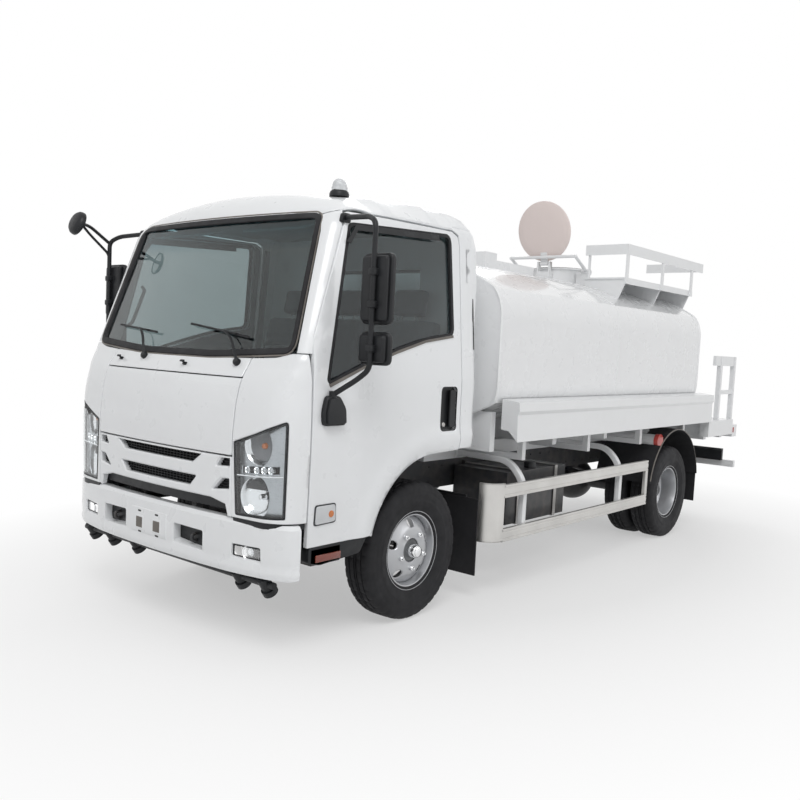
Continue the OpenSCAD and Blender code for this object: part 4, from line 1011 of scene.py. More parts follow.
def make_seals():
    """Rubber round the windscreen and rear window, and the outer moulding."""
    def screen(p, depth):
        y, z = p[:, 0], p[:, 1]
        origin = np.stack([np.interp(z, *FRONT) - 260, y * 0.86, z], 1)
        target = np.stack([np.full(len(p), 260.0), y * 0.14, np.zeros(len(p))], 1)
        return on_cab(origin, target / np.linalg.norm(target, axis=1)[:, None], depth)
    opening = rounded(SHIELD_OPENING[::-1], [60, 60, 60, 60, 50, 160, 160, 50][::-1])
    if area(opening) < 0:
        opening = opening[::-1]
    p = Piece("windscreen_seal", "cab", "rubber")
    p.add(RUBBER, panel(grown(opening, 7), screen, 20, [inset(opening, 24)], -3, 26, 4))
    p.add(MOULDING, panel(grown(opening, 17), screen, 8, [grown(opening, 8)], -1, 26, 2))
    rear = rounded([(-490, 1550), (490, 1550), (490, 1990), (-490, 1990)], 60)
    back = lambda q, depth: np.stack([CAB_REAR + depth + 0 * q[:, 0], q[:, 0], q[:, 1]], 1)
    p.add(RUBBER, panel(rear, back, 16, [inset(rear, 28)], -6, 60, 3))
    p.done()


make_front()
make_lamps()
make_roof()
make_sides()
make_doors()
make_seals()


# ---------------------------------------------------------------- bumper

PLAN = [(1111, 0), (1108, 200), (1102, 380), (1089, 560), (1067, 700), (1046, 800), (1018, 872),
        (993, 906), (969, 924),
        (940, 931), (893, 932)]
PLAN_S = np.concatenate([[0], np.cumsum([math.dist(a, b) for a, b in zip(PLAN, PLAN[1:])])])
# Section of the bumper: length along it, depth behind the face, height
SECTION = [(340, 44, 404), (372, 12, 401), (381, 6, 404), (388, 2, 411), (400, 0, 420), (440, -1, 448),
           (452, 3, 456), (470, 4, 474),
           (480, 1, 484), (500, 0, 500), (640, 0, 640), (650, 1.5, 650), (658, 5.5, 658),
           (664, 12, 662.5), (672, 20, 664),
           (720, 66, 664)]


def bumper_map(p, depth):
    """Coordinates (s, v): s round the bumper seen from above, v along its section."""
    s, v = np.abs(p[:, 0]), p[:, 1]
    sign = np.where(p[:, 0] < 0, -1.0, 1.0)
    plan = lambda k: [np.interp(k, PLAN_S, column) for column in zip(*PLAN)]
    x, y = plan(s)
    # The direction along the plan, from a point a little before to one a little after
    reach = 25
    (ax, ay), (bx, by) = plan(np.clip(s - reach, 0, None)), plan(np.minimum(s + reach, PLAN_S[-1]))
    tx, ty = np.where(s < reach, 0.0, bx - ax), np.where(s < reach, 1.0, by - ay)
    length = np.hypot(tx, ty)
    nx, ny = ty / length, -tx / length
    along, backs, heights = zip(*SECTION)
    section = lambda k: (np.interp(k, along, backs), np.interp(k, along, heights))
    (back, z), (back0, z0), (back1, z1) = section(v), section(v - 4), section(v + 4)
    db, dz = back1 - back0, z1 - z0
    norm = np.maximum(np.hypot(db, dz), 1e-6)
    back, z = back + depth * dz / norm, z - depth * db / norm
    return np.stack([x - nx * back, (y - ny * back) * sign, z], 1)


def bumper_end_s(x):
    """The distance round the bumper at which its side reaches back to x."""
    return float(np.interp(-x, [-q[0] for q in PLAN], PLAN_S))


def bumper_s(y):
    return float(np.interp(abs(y), [q[1] for q in PLAN], PLAN_S)) * (1 if y >= 0 else -1)


def on_bumper(y0, y1, z0, z1):
    """A rectangle on the bumper's face, from two places across the truck and two heights."""
    return [(bumper_s(y0), z0), (bumper_s(y1), z0), (bumper_s(y1), z1), (bumper_s(y0), z1)]


PLATE_Y = -55
TOW_OPENING = ((217, 474), (443, 468), (443, 570), (217, 574))


def around(loop):
    """A loop run anticlockwise and drawn in by half a millimetre."""
    return inset(loop if area(loop) > 0 else loop[::-1], 0.5)


def make_bumper():
    p = Piece("bumper_skin", "chassis", "cab_paint", ["front_bumper"])
    end = bumper_end_s(950)
    # The openings for the towing eyes sit either side of the plate, which is off the middle
    tows = [rounded([(bumper_s(PLATE_Y + sign * y), z) for y, z in TOW_OPENING], 12) for sign in (1,
                                                                                                  -1)]
    fog = rounded([(bumper_s(y), z) for y, z in ((590, 478), (764, 474), (760, 547), (590, 545))], 10)
    holes = tows + [fog, flip(fog)]
    p.add(WHITE, panel([(-end, 342), (end, 342), (end, 716), (-end, 716)], bumper_map, 12, holes,
                       step=24, ease=3))
    for sign, tow in ((1, tows[0]), (-1, tows[1])):
        # Pockets behind the openings
        for hole, depth in ((tow, 48), (flip(fog, sign), 26)):
            p.add(WHITE, panel(grown(hole, 10), bumper_map, depth - 8, [around(hole)], 8, 30, 1))
        p.add(BLACK, panel(grown(tow, 6), bumper_map, 6, (), 44, 60, 1))
        p.add(DARK_TRIM, panel(flip(grown(fog, 6), sign), bumper_map, 5, (), 30, 60, 1))
        p.add(LENS, panel(flip(inset(fog, 9), sign), bumper_map, 3, (), 13, 30, 2))
        p.add(BLACK, panel(flip(inset(fog, 0), sign), bumper_map, 8, [flip(inset(fog, 11), sign)], 12,
                           30, 2))
        spot = bumper_map(np.array([(sign * bumper_s(680), 512)]), 14)[0]
        p.add(CHROME, turned(moved(bowl((0, 0, 0), 28, 14)), "Z", sign * 18))
        p.corners[-1] = p.corners[-1] + spot
        # Tow hook in its pocket
        hook_y = PLATE_Y + sign * 345
        p.add(CHASSIS, tube([(1052, hook_y, 498), (1086, hook_y, 503), (1090, hook_y, 532),
                             (1052, hook_y, 537)], 8, 12, 10))
        # Brackets to the frame rails
        bracket = box((984, 322, 613), (1090, 378, 657), 4)
        p.add(CHASSIS, on_side(bracket, sign))
    # Plate area: a raised pad with fixing squares and slots
    p.add(WHITE, panel(rounded(on_bumper(-215, 104, 466, 606), 8), bumper_map, 5, (), -3, 40, 3))
    for y in (-133, 22):
        square = on_bumper(y - 28, y + 28, 500, 556)
        p.add(WHITE, panel(rounded(grown(square, 9), 4), bumper_map, 4, (), -5, 30, 2))
        p.add(MOULDING, panel(rounded(square, 3), bumper_map, 3, (), -6, 30, 1))
        for z in (474, 588):
            slot = on_bumper(y - 14, y + 14, z - 5, z + 5)
            p.add(BLACK, panel(rounded(slot, 4), bumper_map, 3, (), -4, 30, 1))
    p.done()


# ---------------------------------------------------------------- wheels

def tyre_shape(y, outer=1):
    """A tyre about the Y axis with its middle at y; its sides are alike."""
    half = [(203, 70), (212, 78), (224, 80), (236, 84), (250, 90), (262, 95), (275, 98.5), (282, 99.6),
            (286, 98.2), (300, 99.4),
            (326, 99.6), (331, 98.0), (336, 99.0), (350, 96.5), (362, 92), (366, 90), (372, 86),
            (378, 80), (382.5, 72), (385, 64)]
    ribs = [(386, 56, 1), (386.3, 46, 1), (379, 44, 0), (379, 38, 0), (386.6, 36, 1), (386.9, 22, 1),
            (386.9, 12, 1), (379, 10, 0), (379, 4, 0),
            (387, 2, 0)]
    lugs = {14, 15, 16, 17, 18, 19}
    profile = [(r, w, 1 if i in lugs else 0) for i, (r, w) in enumerate(half)] + ribs
    profile += [(r, -w, lug) for r, w, lug in reversed(profile)]
    profile += [(196, -62, 0), (196, 62, 0)]
    scale = TYRE_R / 387
    steps = 180
    corners, faces = [], []
    for r, w, lug in profile:
        for k in range(steps):
            t = 2 * math.pi * k / steps
            cut = 5 if lug and (k + (3 if w > 40 else 0)) % 5 == 0 else 0
            corners.append(((r * scale - cut) * math.cos(t), y + w, (r * scale - cut) * math.sin(t)))
    n = len(profile)
    for i in range(n):
        j = (i + 1) % n
        faces += [(i * steps + k, i * steps + (k + 1) % steps, j * steps + (k + 1) % steps,
                   j * steps + k) for k in range(steps)]
    return np.array(corners), faces


TWIN = 229  # between the middles of the two tyres of a rear pair
RIM = [(191, -79), (224, -79), (226, -76), (222, -70), (212, -68), (204, -66), (199, -40), (196, 0),
       (199, 40), (204, 66), (212, 68),
       (222, 70), (226, 76), (224, 79), (219, 80), (214, 74), (208, 71), (197, 69), (190, 42), (187, 0),
       (190, -42), (186, -78)]


def disc(profile, thickness=9, hole_r=130, count=5, wide=23, tall=34, centre=44):
    """A wheel disc with oval hand holes; profile gives its face's y at each radius."""
    rs, ys = zip(*profile)
    surface = lambda p, d: np.stack([p[:, 0], np.interp(np.hypot(p[:, 0], p[:, 1]), rs, ys) - d,
                                     p[:, 1]], 1)
    holes = [circle(centre, 28)]
    for k in range(count):
        a = math.radians(90 + 360 * k / count)
        c, s = math.cos(a), math.sin(a)
        ring = [(hole_r * c + c * wide * math.cos(t) - s * tall * math.sin(t),
                 hole_r * s + s * wide * math.cos(t) + c * tall * math.sin(t))
                for t in np.linspace(0, 2 * math.pi, 20, endpoint=False)]
        holes.append(ring)
    return panel(circle(189, 72), surface, thickness, holes, step=13, ease=3)


def studs(p, y, r, count=5, size=12, look=STEEL):
    for k in range(count):
        a = math.radians(54 + 360 * k / count)
        at = (r * math.cos(a), 0, r * math.sin(a))
        nut = prism(circle(size, 6), "y", y, y + 14, 1.5, 1)
        p.add(look, moved(nut, *at), moved(lathe([(0, y + 26), (6, y + 25), (7, y + 22), (7, y),
                                                  (0, y)], "y", steps=14), *at))


def placed(p, x, y, sign):
    """Moves all that a piece holds to a wheel's middle, mirrored for the right side."""
    for i, c in enumerate(p.corners):
        p.corners[i] = c * (1, sign, 1) + (x, sign * y, AXLE_Z)
    return p


def make_wheels():
    for side, sign in SIDES:
        body = "front_" + side + "_wheel"
        p = Piece(body + "_tyre", body, "tyre", ["front_" + side + "_tyre"])
        p.add(TREAD, tyre_shape(0))
        placed(p, 0, FRONT_Y, sign).done(30)
        p = Piece(body + "_rim", body, "rim_paint", ["front_" + side + "_rim"])
        p.add(SILVER, lathe(RIM, "y", steps=96))
        face = [(0, 70), (66, 70), (76, 72), (118, 72), (130, 69), (146, 60), (166, 46), (180, 36),
                (192, 26)]
        p.add(SILVER, disc(face, hole_r=152, centre=66, wide=24, tall=25))
        # Hub cap over the end of the spindle
        cap = box_mm("left_knuckle")[1][1] - FRONT_Y + 5
        p.add(CHROME, lathe([(0, cap), (18, cap - 1), (29, cap - 5), (36, cap - 14), (39, 62), (39, 40),
                             (34, 40), (34, cap - 14),
                             (28, cap - 7), (0, cap - 3)], "y", steps=40))
        p.add(CAST, lathe([(39, 58), (50, 62), (62, 62), (64, 52), (64, 40), (39, 40)], "y", steps=40))
        p.add(STEEL, lathe([(0, 40), (62, 40), (62, 30), (30.2, 30), (30.2, -10), (0, -10)], "y",
                           steps=40))
        studs(p, 72, 100, 5, 15, CHROME)
        p.add(STEEL, tube([(196, 50, 60), (186, 66, 56), (176, 84, 52)], 4, 0, 10))
        placed(p, 0, FRONT_Y, sign).done()
        body = "rear_" + side + "_wheel"
        p = Piece(body + "_tyres", body, "tyre", ["rear_" + side + "_tyres"])
        half = TWIN / 2
        p.add(TREAD, tyre_shape(half), tyre_shape(-half))
        placed(p, REAR_X, REAR_Y, sign).done(30)
        p = Piece(body + "_rims", body, "rim_paint", ["rear_" + side + "_rims"])
        p.add(SILVER, moved(lathe(RIM, "y", steps=96), 0, half, 0),
              moved(lathe(RIM, "y", steps=96), 0, -half, 0))
        face = [(0, 20), (96, 20), (108, 20), (120, 22), (140, 30), (160, 44), (178, 56), (192, 62)]
        inner = [(0, 8), (108, 8), (120, 6), (140, -2), (160, -16), (178, -28), (192, -34)]
        for profile in (face, inner):
            p.add(SILVER, disc(profile, centre=86, hole_r=141, tall=27, wide=17))
        p.add(CAST, lathe([(0, 112), (34, 112), (40, 108), (44, 98), (62, 96), (66, 90), (70, 40),
                           (92, 26), (92, -10), (0, -10)], "y", steps=40))
        studs(p, 20, 101, 5, 13)
        for k in range(6):
            a = math.radians(60 * k + 30)
            p.add(STEEL, moved(prism(circle(7, 6), "y", 96, 103, 1, 1), 54 * math.cos(a), 0,
                               54 * math.sin(a)))
        placed(p, REAR_X, REAR_Y, sign).done()


# ---------------------------------------------------------------- mirrors, wipers, small things


def make_mirrors():
    mirror_y = 1102
    for side, sign in SIDES:
        p = Piece(side + "_mirror_set", side + "_door_body", "black_plastic", [side + "_mirror"])
        pole = [(655, 828, 2116), (700, mirror_y - 60, 2103), (730, mirror_y, 2070),
                (730, mirror_y, 1400),
                (745, mirror_y - 60, 1350), (786, 922, 1268)]
        parts = [tube(pole, 13, 34, 14)]
        for low, high in ((1608, 1936), (1420, 1574)):
            outline = rounded([(mirror_y - 105, low), (mirror_y + 78, low), (mirror_y + 78, high),
                               (mirror_y - 105, high)],
                              34, 6)
            parts.append(prism(outline, "x", 660, 690, 9, 3))
            parts.append(prism(inset(outline, 14), "x", 684, 716, 14, 4))
            for z in ((low + high) / 2,) if high - low < 200 else (low + 90, high - 90):
                parts.append(box((706, mirror_y - 20, z - 17), (748, mirror_y + 20, z + 17), 7))
        # Foot on the door, a shaped cover over its bracket
        foot = rounded([(692, 1125), (838, 1125), (846, 1190), (826, 1268), (742, 1268), (700, 1210)],
                       22)
        parts.append(prism(foot, "y", 906, 940, 8, 3))
        parts.append(prism(inset(foot, 12), "y", 930, 952, 8, 3))
        parts.append(tube([(786, 930, 1240), (786, 930, 1290)], 18, 0, 14))
        parts.append(prism(rounded([(628, 2090), (690, 2090), (680, 2136), (628, 2136)], 12), "y", 826,
                           850, 5))
        if sign < 0:
            parts.append(tube([(730, mirror_y, 2060), (860, mirror_y + 10, 2150),
                               (985, mirror_y - 50, 2155)], 10, 40, 12))
            parts.append(tube([(730, mirror_y, 1960), (740, mirror_y + 2, 2000),
                               (860, mirror_y + 8, 2100), (940, mirror_y - 30, 2152)], 8, 40, 10))
            head = lathe([(0, 20), (40, 18), (58, 12), (69, 0), (72, -12), (72, -20), (66, -20),
                          (64, -14), (0, -14)], "z", steps=48)
            parts.append(moved(turned(head, "Y", 70), 995, mirror_y - 70, 2150))
            glass_disc = lathe([(0, -14), (64, -14), (64, -17), (0, -19)], "z", steps=48)
        p.add(BLACK, *[on_side(part, sign) for part in parts])
        for low, high in ((1608, 1936), (1420, 1574)):
            outline = rounded([(mirror_y - 97, low + 8), (mirror_y + 70, low + 8),
                               (mirror_y + 70, high - 8),
                               (mirror_y - 97, high - 8)], 28, 6)
            pane = prism(outline, "x", 657.5, 661, 1, 1)
            p.add(MIRROR, on_side(pane, sign))
        if sign < 0:
            p.add(MIRROR, mirrored(moved(turned(glass_disc, "Y", 70), 995, mirror_y - 70, 2150)))
        p.done()


def screen_point(y, z, out):
    """A point on the windscreen, a distance outside it."""
    at = on_cab(np.array([(front_x(z) - 260.0, y * 0.86, z)]),
                np.array([(1.0, y * 0.14 / 260, 0.33)]) / 1.06, -out)
    return tuple(at[0])


def make_wipers():
    p = Piece("wipers", "cab", "black_plastic")
    for pivot_y, tip in ((-250.0, (-640, 1492)), (500.0, (70, 1500))):
        foot = np.array(front_map(np.array([(pivot_y, 1400.0)]), -4)[0])
        p.add(BLACK, moved(turned(lathe([(0, 20), (14, 18), (19, 12), (20, -12), (0, -12)], "z",
                                        steps=20), "Y", 58), *foot))
        heel = (pivot_y + 40, 1450)
        along = lambda k, out: screen_point(heel[0] + (tip[0] - heel[0]) * k,
                                            heel[1] + (tip[1] - heel[1]) * k, out)
        arm = [tuple(foot + (8, 0, 12)), screen_point(pivot_y - 60, 1424, 22), along(0.35, 22),
               along(0.5, 18)]
        p.add(BLACK, sweep(bent(arm, 30), [(-7, -2), (7, -2), (7, 2), (-7, 2)]))
        blade = [along(k / 8, 5) for k in range(9)]
        p.add(RUBBER, sweep(blade, [(-4, -5), (4, -5), (2, 6), (-2, 6)]))
        p.add(BLACK, sweep([along(k, 13) for k in (0.2, 0.35, 0.5, 0.65, 0.8)],
                           [(-5, -3), (5, -3), (5, 3), (-5, 3)]))
    # Washer nozzles
    for y in (-470, 130):
        at = np.array(front_map(np.array([(float(y), 1376.0)]), -2)[0])
        p.add(BLACK, moved(turned(merged(box((-8, -14, -4), (8, 14, 6), 3),
                                         box((-5, -4, 4), (5, 4, 22), 2),
                                         box((-6, -16, 18), (6, 16, 26), 3)), "Y", 50), *at))
    p.done()


def make_cab_details():
    for side, sign in SIDES:
        surface = side_map(sign)
        # Side repeater: clear front, amber rear
        p = Piece(side + "_repeater", side + "_door_body", "lamp_red")
        p.add(PEARL, panel(rounded([(716, 660), (853, 656), (850, 744), (722, 744)], 14), surface, 12,
                           (), -10, 16, 4))
        p.add(AMBER, panel(circle(17, 20, 752, 700), surface, 6, (), -13, 16, 2))
        rim = rounded([(710, 654), (859, 650), (856, 750), (716, 750)], 16)
        p.add(DARK_TRIM, panel(rim, surface, 8, [inset(rim if area(rim) > 0 else rim[::-1], 7)], -5, 16,
                               2))
        p.done()
        # Entry step below the door, with its reflector
        p = Piece(side + "_step_cover", "cab", "black_plastic")
        step = [(470, 546), (878, 546), (878, 470), (800, 452), (520, 470)]
        p.add(BLACK, on_side(prism(rounded(step, 16), "y", 846, 903, 6), sign))
        reflector = box((662, 901, 470), (834, 909, 505), 3)
        p.add(REFLECTOR, on_side(reflector, sign))
        p.done()
        # Grab handle on the inside of the windscreen pillar
        p = Piece(side + "_grab_handle", "cab", "cabin_plastic")
        bar = tube([(812, 742, 1560), (800, 716, 1580), (735, 700, 1770), (738, 722, 1790)], 10, 24, 12)
        p.add(DARK_TRIM, on_side(bar, sign))
        p.done()
        # Sun visor folded up behind the windscreen's top edge
        p = Piece(side + "_sun_visor", "cab", "cabin_plastic")
        visor = turned(box((560, 130, 2092), (700, 610, 2106), 6, 3), "Y", 22, (640, 0, 2100))
        p.add(LINING, on_side(visor, sign))
        p.done()
    # Lamp on the roof: a dark foot under the clear dome
    p = Piece("roof_lamp_foot", "cab", "black_plastic")
    p.add(BLACK, lathe([(0, 12), (40, 12), (48, 4), (52, -8), (52, -22), (0, -22)], "z",
                       (420, 560, 2292), 40))
    p.done()


make_bumper()
make_wheels()
make_mirrors()
make_wipers()
make_cab_details()


# ---------------------------------------------------------------- tank and body


# The tank's section: centre height, half width, two flattened arcs and the rounded corners
TANK_Z, TANK_HALF = 1560, 835
CROWN_Z, CROWN_R = 650.4, 1469.6
FLOOR_Z, FLOOR_R = 2837, 1837
CORNER_Y, CORNER_R = 535, 300
CORNER_HIGH_Z, CORNER_LOW_Z = 1720, 1300


def tank_loop(grow=0.0, steps=120):
    """The tank's outline in (y, z), moved outward a little."""
    loop = []
    for k in range(steps):
        a = 2 * math.pi * k / steps
        dy, dz = math.cos(a), math.sin(a)
        near, far = 0.0, 1200.0
        for _ in range(28):
            r = (near + far) / 2
            y, z = abs(r * dy), TANK_Z + r * dz
            crown = math.hypot(y, z - CROWN_Z) - CROWN_R
            floor = math.hypot(y, z - FLOOR_Z) - FLOOR_R
            corner_z = min(max(z, CORNER_LOW_Z), CORNER_HIGH_Z)
            if z != corner_z and y > CORNER_Y:
                corner = math.hypot(y - CORNER_Y, z - corner_z) - CORNER_R
            else:
                corner = y - TANK_HALF
            if max(crown, floor, corner) - grow > 0:
                far = r
            else:
                near = r
        loop.append((near * dy, TANK_Z + near * dz))
    return loop


def ring(x, width, proud):
    """A raised band round the tank at x."""
    section = [(-width / 2, -4), (-width / 2, 0), (-width / 4, proud), (width / 4, proud),
               (width / 2, 0), (width / 2, -4)]
    loops = [(dx, tank_loop(out)) for dx, out in section]
    n = len(loops[0][1])
    corners = [(x + dx, y, z) for dx, loop in loops for y, z in loop]
    faces = [(i * n + k, i * n + (k + 1) % n, ((i + 1) % len(loops)) * n + (k + 1) % n,
              ((i + 1) % len(loops)) * n + k)
             for i in range(len(loops)) for k in range(n)]
    return np.array(corners), faces


TANK_FRONT, TANK_REAR = -760, -4020
MANHOLE_X = -2900
HINGE_X, HINGE_Z = -2638, 2258
OPEN_ANGLE = 102


def make_tank_details():
    p = Piece("tank_seams", "chassis", "tank_paint")
    p.add(TANK, ring(TANK_FRONT - 8, 34, 7), ring(TANK_REAR + 8, 34, 7), ring(-2390, 9, 2.0))
    # Welded seams along the crown
    for y, end in ((-420, -3980), (420, -2500)):
        z = CROWN_Z + math.sqrt(CROWN_R ** 2 - y * y)
        p.add(TANK, sweep([(-800, y, z), (end, y, z)], [(-5, -1), (-2, 1.8), (2, 1.8), (5, -1)]))
    p.done()
    # Bolted flange round the manhole neck, below the lid
    p = Piece("neck_flange", "chassis", "body_paint")
    p.add(BODY, moved(lathe([(226.5, 92), (238, 92), (240, 96), (240, 102), (238, 105), (226.5, 105)],
                            "z", steps=80), MANHOLE_X, 0, 2120))
    p.add(RUBBER, moved(lathe([(217, 108), (226, 108), (225, 111), (218, 111)], "z", steps=80),
                        MANHOLE_X, 0, 2120))
    p.done()
    # Lid, drawn closed and swung open like the CAD one
    p = Piece("manhole_lid_skin", "lid", "lid_paint", ["manhole_lid"])
    disc_profile = [(0, -9), (150, -9), (162, -6), (190, -6), (202, -13), (214, -14), (222, -17),
                    (226, -25), (240, -25), (245, -22),
                    (245, -12), (242, -9), (228, -7), (205, 0), (180, 4), (100, 8), (0, 9)]
    reach = MANHOLE_X - HINGE_X
    disc_shape = moved(lathe(disc_profile, "z", steps=96), reach, 0, 0)
    arm = merged(box((-92, -30, -9), (2, 30, 11), 3),
                 lathe([(9.1, -38), (18, -38), (18, 38), (9.1, 38)], "y", steps=32))
    for look, shape in ((LID, disc_shape), (BODY, arm)):
        p.add(look, moved(turned(shape, "Y", OPEN_ANGLE), HINGE_X, 0, HINGE_Z))
    p.done()
    # Tread pattern on the walkway and the rear platform
    p = Piece("deck_tread", "chassis", "body_paint")
    lozenge = [(-13, 0), (0, 3.6), (13, 0), (0, -3.6)]
    bars = []
    def tread(x0, x1, y0, y1, z, skip=None):
        for i, x in enumerate(np.arange(x0 + 30, x1 - 20, 44)):
            for j, y in enumerate(np.arange(y0 + 30, y1 - 20, 44)):
                if skip and skip(x, y):
                    continue
                turn = 45 if (i + j) % 2 else -45
                c, s = math.cos(math.radians(turn)), math.sin(math.radians(turn))
                points = [(x + c * a - s * b, y + s * a + c * b) for a, b in lozenge]
                base = [(a, b, z - 0.5) for a, b in points]
                top = [(x + (a - x) * 0.75, y + (b - y) * 0.75, z + 1.8) for a, b in points]
                bars.append((np.array(base + top), [(3, 2, 1, 0),
                                                    (4, 5, 6, 7)] + [(k, (k + 1) % 4, 4 + (k + 1) % 4,
                                                                      4 + k) for k in range(4)]))
    beside_neck = lambda x, y: x > MANHOLE_X + 30 and y < 375
    tread(TANK_REAR - 85, MANHOLE_X + 205, 300, 690, 2140, beside_neck)
    tread(REAR_X - 1400, TANK_REAR - 110, -850, 850, box_mm("rear_platform")[1][2])
    p.add(BODY, *bars)
    p.done()


def channel(a, b, y, z0, z1, sign):
    """An aluminium guard rail with two pressed grooves, between two places along the truck."""
    outline = [(y - 25, z0), (y - 3, z0), (y, z0 + 3), (y, z0 + 12), (y - 4, z0 + 15), (y - 4, z0 + 22),
               (y - 1, z0 + 25),
               (y - 1, z1 - 25), (y - 4, z1 - 22), (y - 4, z1 - 15), (y, z1 - 12), (y, z1 - 3),
               (y - 3, z1), (y - 25, z1)]
    return on_side(prism(outline, "x", a, b), sign)


def make_side_guards():
    y, front, rear = 953, -716, REAR_X + 542
    for side, sign in SIDES:
        p = Piece(side + "_side_guard", "chassis", "guard_metal", ["side_guards"] if sign > 0 else ())
        side_of = lambda s: on_side(s, sign)
        for z in (347, 620):
            p.add(GUARD, channel(rear, front - 4, y, z, z + 80, sign))
        p.add(GUARD, side_of(box((rear, y - 25, 427), (rear + 40, y, 620), 2)))
        outer = [(front + 110 * math.sin(math.radians(t)) ,
                  y - 110 + 110 * math.cos(math.radians(t))) for t in range(0, 91, 6)]
        inner = [(front + 102 * math.sin(math.radians(t)),
                  y - 110 + 102 * math.cos(math.radians(t))) for t in range(90, -1, -6)]
        p.add(GUARD, side_of(prism([(front - 10, y - 8), (front - 10, y)] + outer + inner, "z", 353,
                                   711)))
        # End trims on the rounded cover
        for z in (351, 707):
            p.add(GUARD, side_of(prism([(front - 10, y - 14), (front - 10, y)] + outer +
                                       [(a - 12 * (a - front) / 102, b - 4) for a, b in inner], "z", z,
                                       z + 6)))
        p.done()
        q = Piece(side + "_guard_arms", "chassis", "body_paint")
        for x in (front - 295, rear + 425):
            path = bent([(x, 384, 820), (x, 790, 812), (x, 905, 690), (x, 905, 342)], 120, 8)
            arm = sweep(path, rounded([(-21, -20), (21, -20), (21, 20), (-21, 20)], 7, 3))
            q.add(BODY, side_of(arm))
            q.add(BODY, side_of(box((x - 34, 380, 786), (x + 34, 392, 850), 3)))
            for z in (387, 660):
                q.add(STEEL, side_of(moved(prism(circle(7, 6), "y", 883, 889, 1, 1), x, 0, z)))
        q.done()


def make_underbody():
    # Rolled edges on the mudguards
    p = Piece("mudguard_beads", "chassis", "rubber")
    for sign in (1, -1):
        path = [(REAR_X + 503 * math.cos(math.radians(a)), sign * 956,
                 AXLE_Z + 35 + 503 * math.sin(math.radians(a)))
                for a in range(12, 169, 6)]
        p.add(MOULDING, sweep(path, circle(5, 8)))
    p.done()
    # Rear lamps and reflectors
    p = Piece("tail_lamps", "chassis", "lamp_red")
    rear = REAR_X - 1520
    for sign in (1, -1):
        for k, (look, a, b) in enumerate(((RED_LENS, 565, 655), (AMBER, 660, 750), (PEARL, 755, 845))):
            lens = box((rear + 52, a, 553), (rear + 63, b, 652), 4, 3)
            p.add(look, on_side(lens, sign))
            ribs = [box((rear + 50, a + 8, z), (rear + 54, b - 8, z + 6), 1, 1) for z in range(566, 646,
                                                                                               16)]
            p.add(look, *[on_side(rib, sign) for rib in ribs])
        reflector = box((rear + 80, 939, 830), (rear + 104, 945, 880), 2)
        p.add(RED_LENS, on_side(reflector, sign))
        post = box((rear - 0.5, 905, 852), (rear + 6, 935, 882), 2)
        p.add(RED_LENS, on_side(post, sign))
    p.done()
    # Plate panel and its two lamps on the tail bar
    p = Piece("rear_plate_panel", "chassis", "body_paint")
    p.add(BODY, prism(rounded([(-200, 556), (200, 556), (200, 654), (-200, 654)], 8), "x", rear + 100,
                      rear + 110, 2))
    for y in (-130, 130):
        p.add(BLACK, box((rear + 84, y - 24, 655), (rear + 116, y + 24, 672), 5))
    p.done()
    # Straps and cap of the fuel tank, bolts on the frame rails
    p = Piece("fuel_tank_fittings", "chassis", "steel")
    for x in (-1560, -1090):
        loop = [(x, 397, 394), (x, 824, 394), (x, 826, 398), (x, 826, 744), (x, 822, 746),
                (x, 397, 746)]
        p.add(STEEL, sweep(loop, [(-18, -2), (18, -2), (18, 2), (-18, 2)]))
    p.add(BLACK, moved(lathe([(0, 44), (34, 42), (40, 34), (40, 0), (0, 0)], "z", steps=32), -1320, 760,
                       738))
    p.done()
    p = Piece("rail_bolts", "chassis", "steel")
    for x in range(-700, -4800, -140):
        for z in (640, 740):
            if abs(x - REAR_X) >= 60:
                head = moved(prism(circle(8, 6), "y", 380, 387, 1, 1), x, 0, z)
                p.add(CHASSIS, head, mirrored(head))
    p.done()
    # Springs: bolted straps over the leaves
    p = Piece("spring_clips", "chassis", "axle_paint")
    for x, z in ((0, AXLE_Z - 17), (REAR_X, AXLE_Z + 62)):
        for dx in (-38, 38):
            loop = tube([(x + dx, 326, z - 70), (x + dx, 326, z + 64), (x + dx, 382, z + 64),
                         (x + dx, 382, z - 70)], 7, 16, 8)
            p.add(CHASSIS, loop, mirrored(loop))
    p.done()


def recolour():
    """Gives faces of a few CAD nodes their own finish by where they lie."""
    on_hinge = lambda c: c[2] > 2226 and abs(c[0] - HINGE_X) < 15 and abs(c[1]) < 61
    rules = {"water_pump": (BODY, RED, lambda c: 1 if c[1] > 886 else (0 if c[2] > 784 else -1)),
             "exhaust": (STEEL, CAST, lambda c: 1 if 600 < -c[0] - 250 < 1251 and c[2] < 616 else 0),
             "manhole_neck": (STEEL, BLACK, lambda c: 0 if on_hinge(c) else -1)}
    for node, (first, second, rule) in rules.items():
        mesh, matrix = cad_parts[node].data, np.array(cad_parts[node].matrix_world)
        base = len(mesh.materials)
        mesh.materials.append(first)
        mesh.materials.append(second)
        for face in mesh.polygons:
            centre = (matrix @ np.array((*face.center, 1)))[:3]
            choice = rule((centre - ORIGIN) / MM)
            if choice >= 0:
                face.material_index = base + choice


# ---------------------------------------------------------------- cabin

SEAT_X, SEAT_Z = -118, 1040
SEATS = (("driver", 480, 480), ("passenger", -480, 480), ("middle", -10, 420))


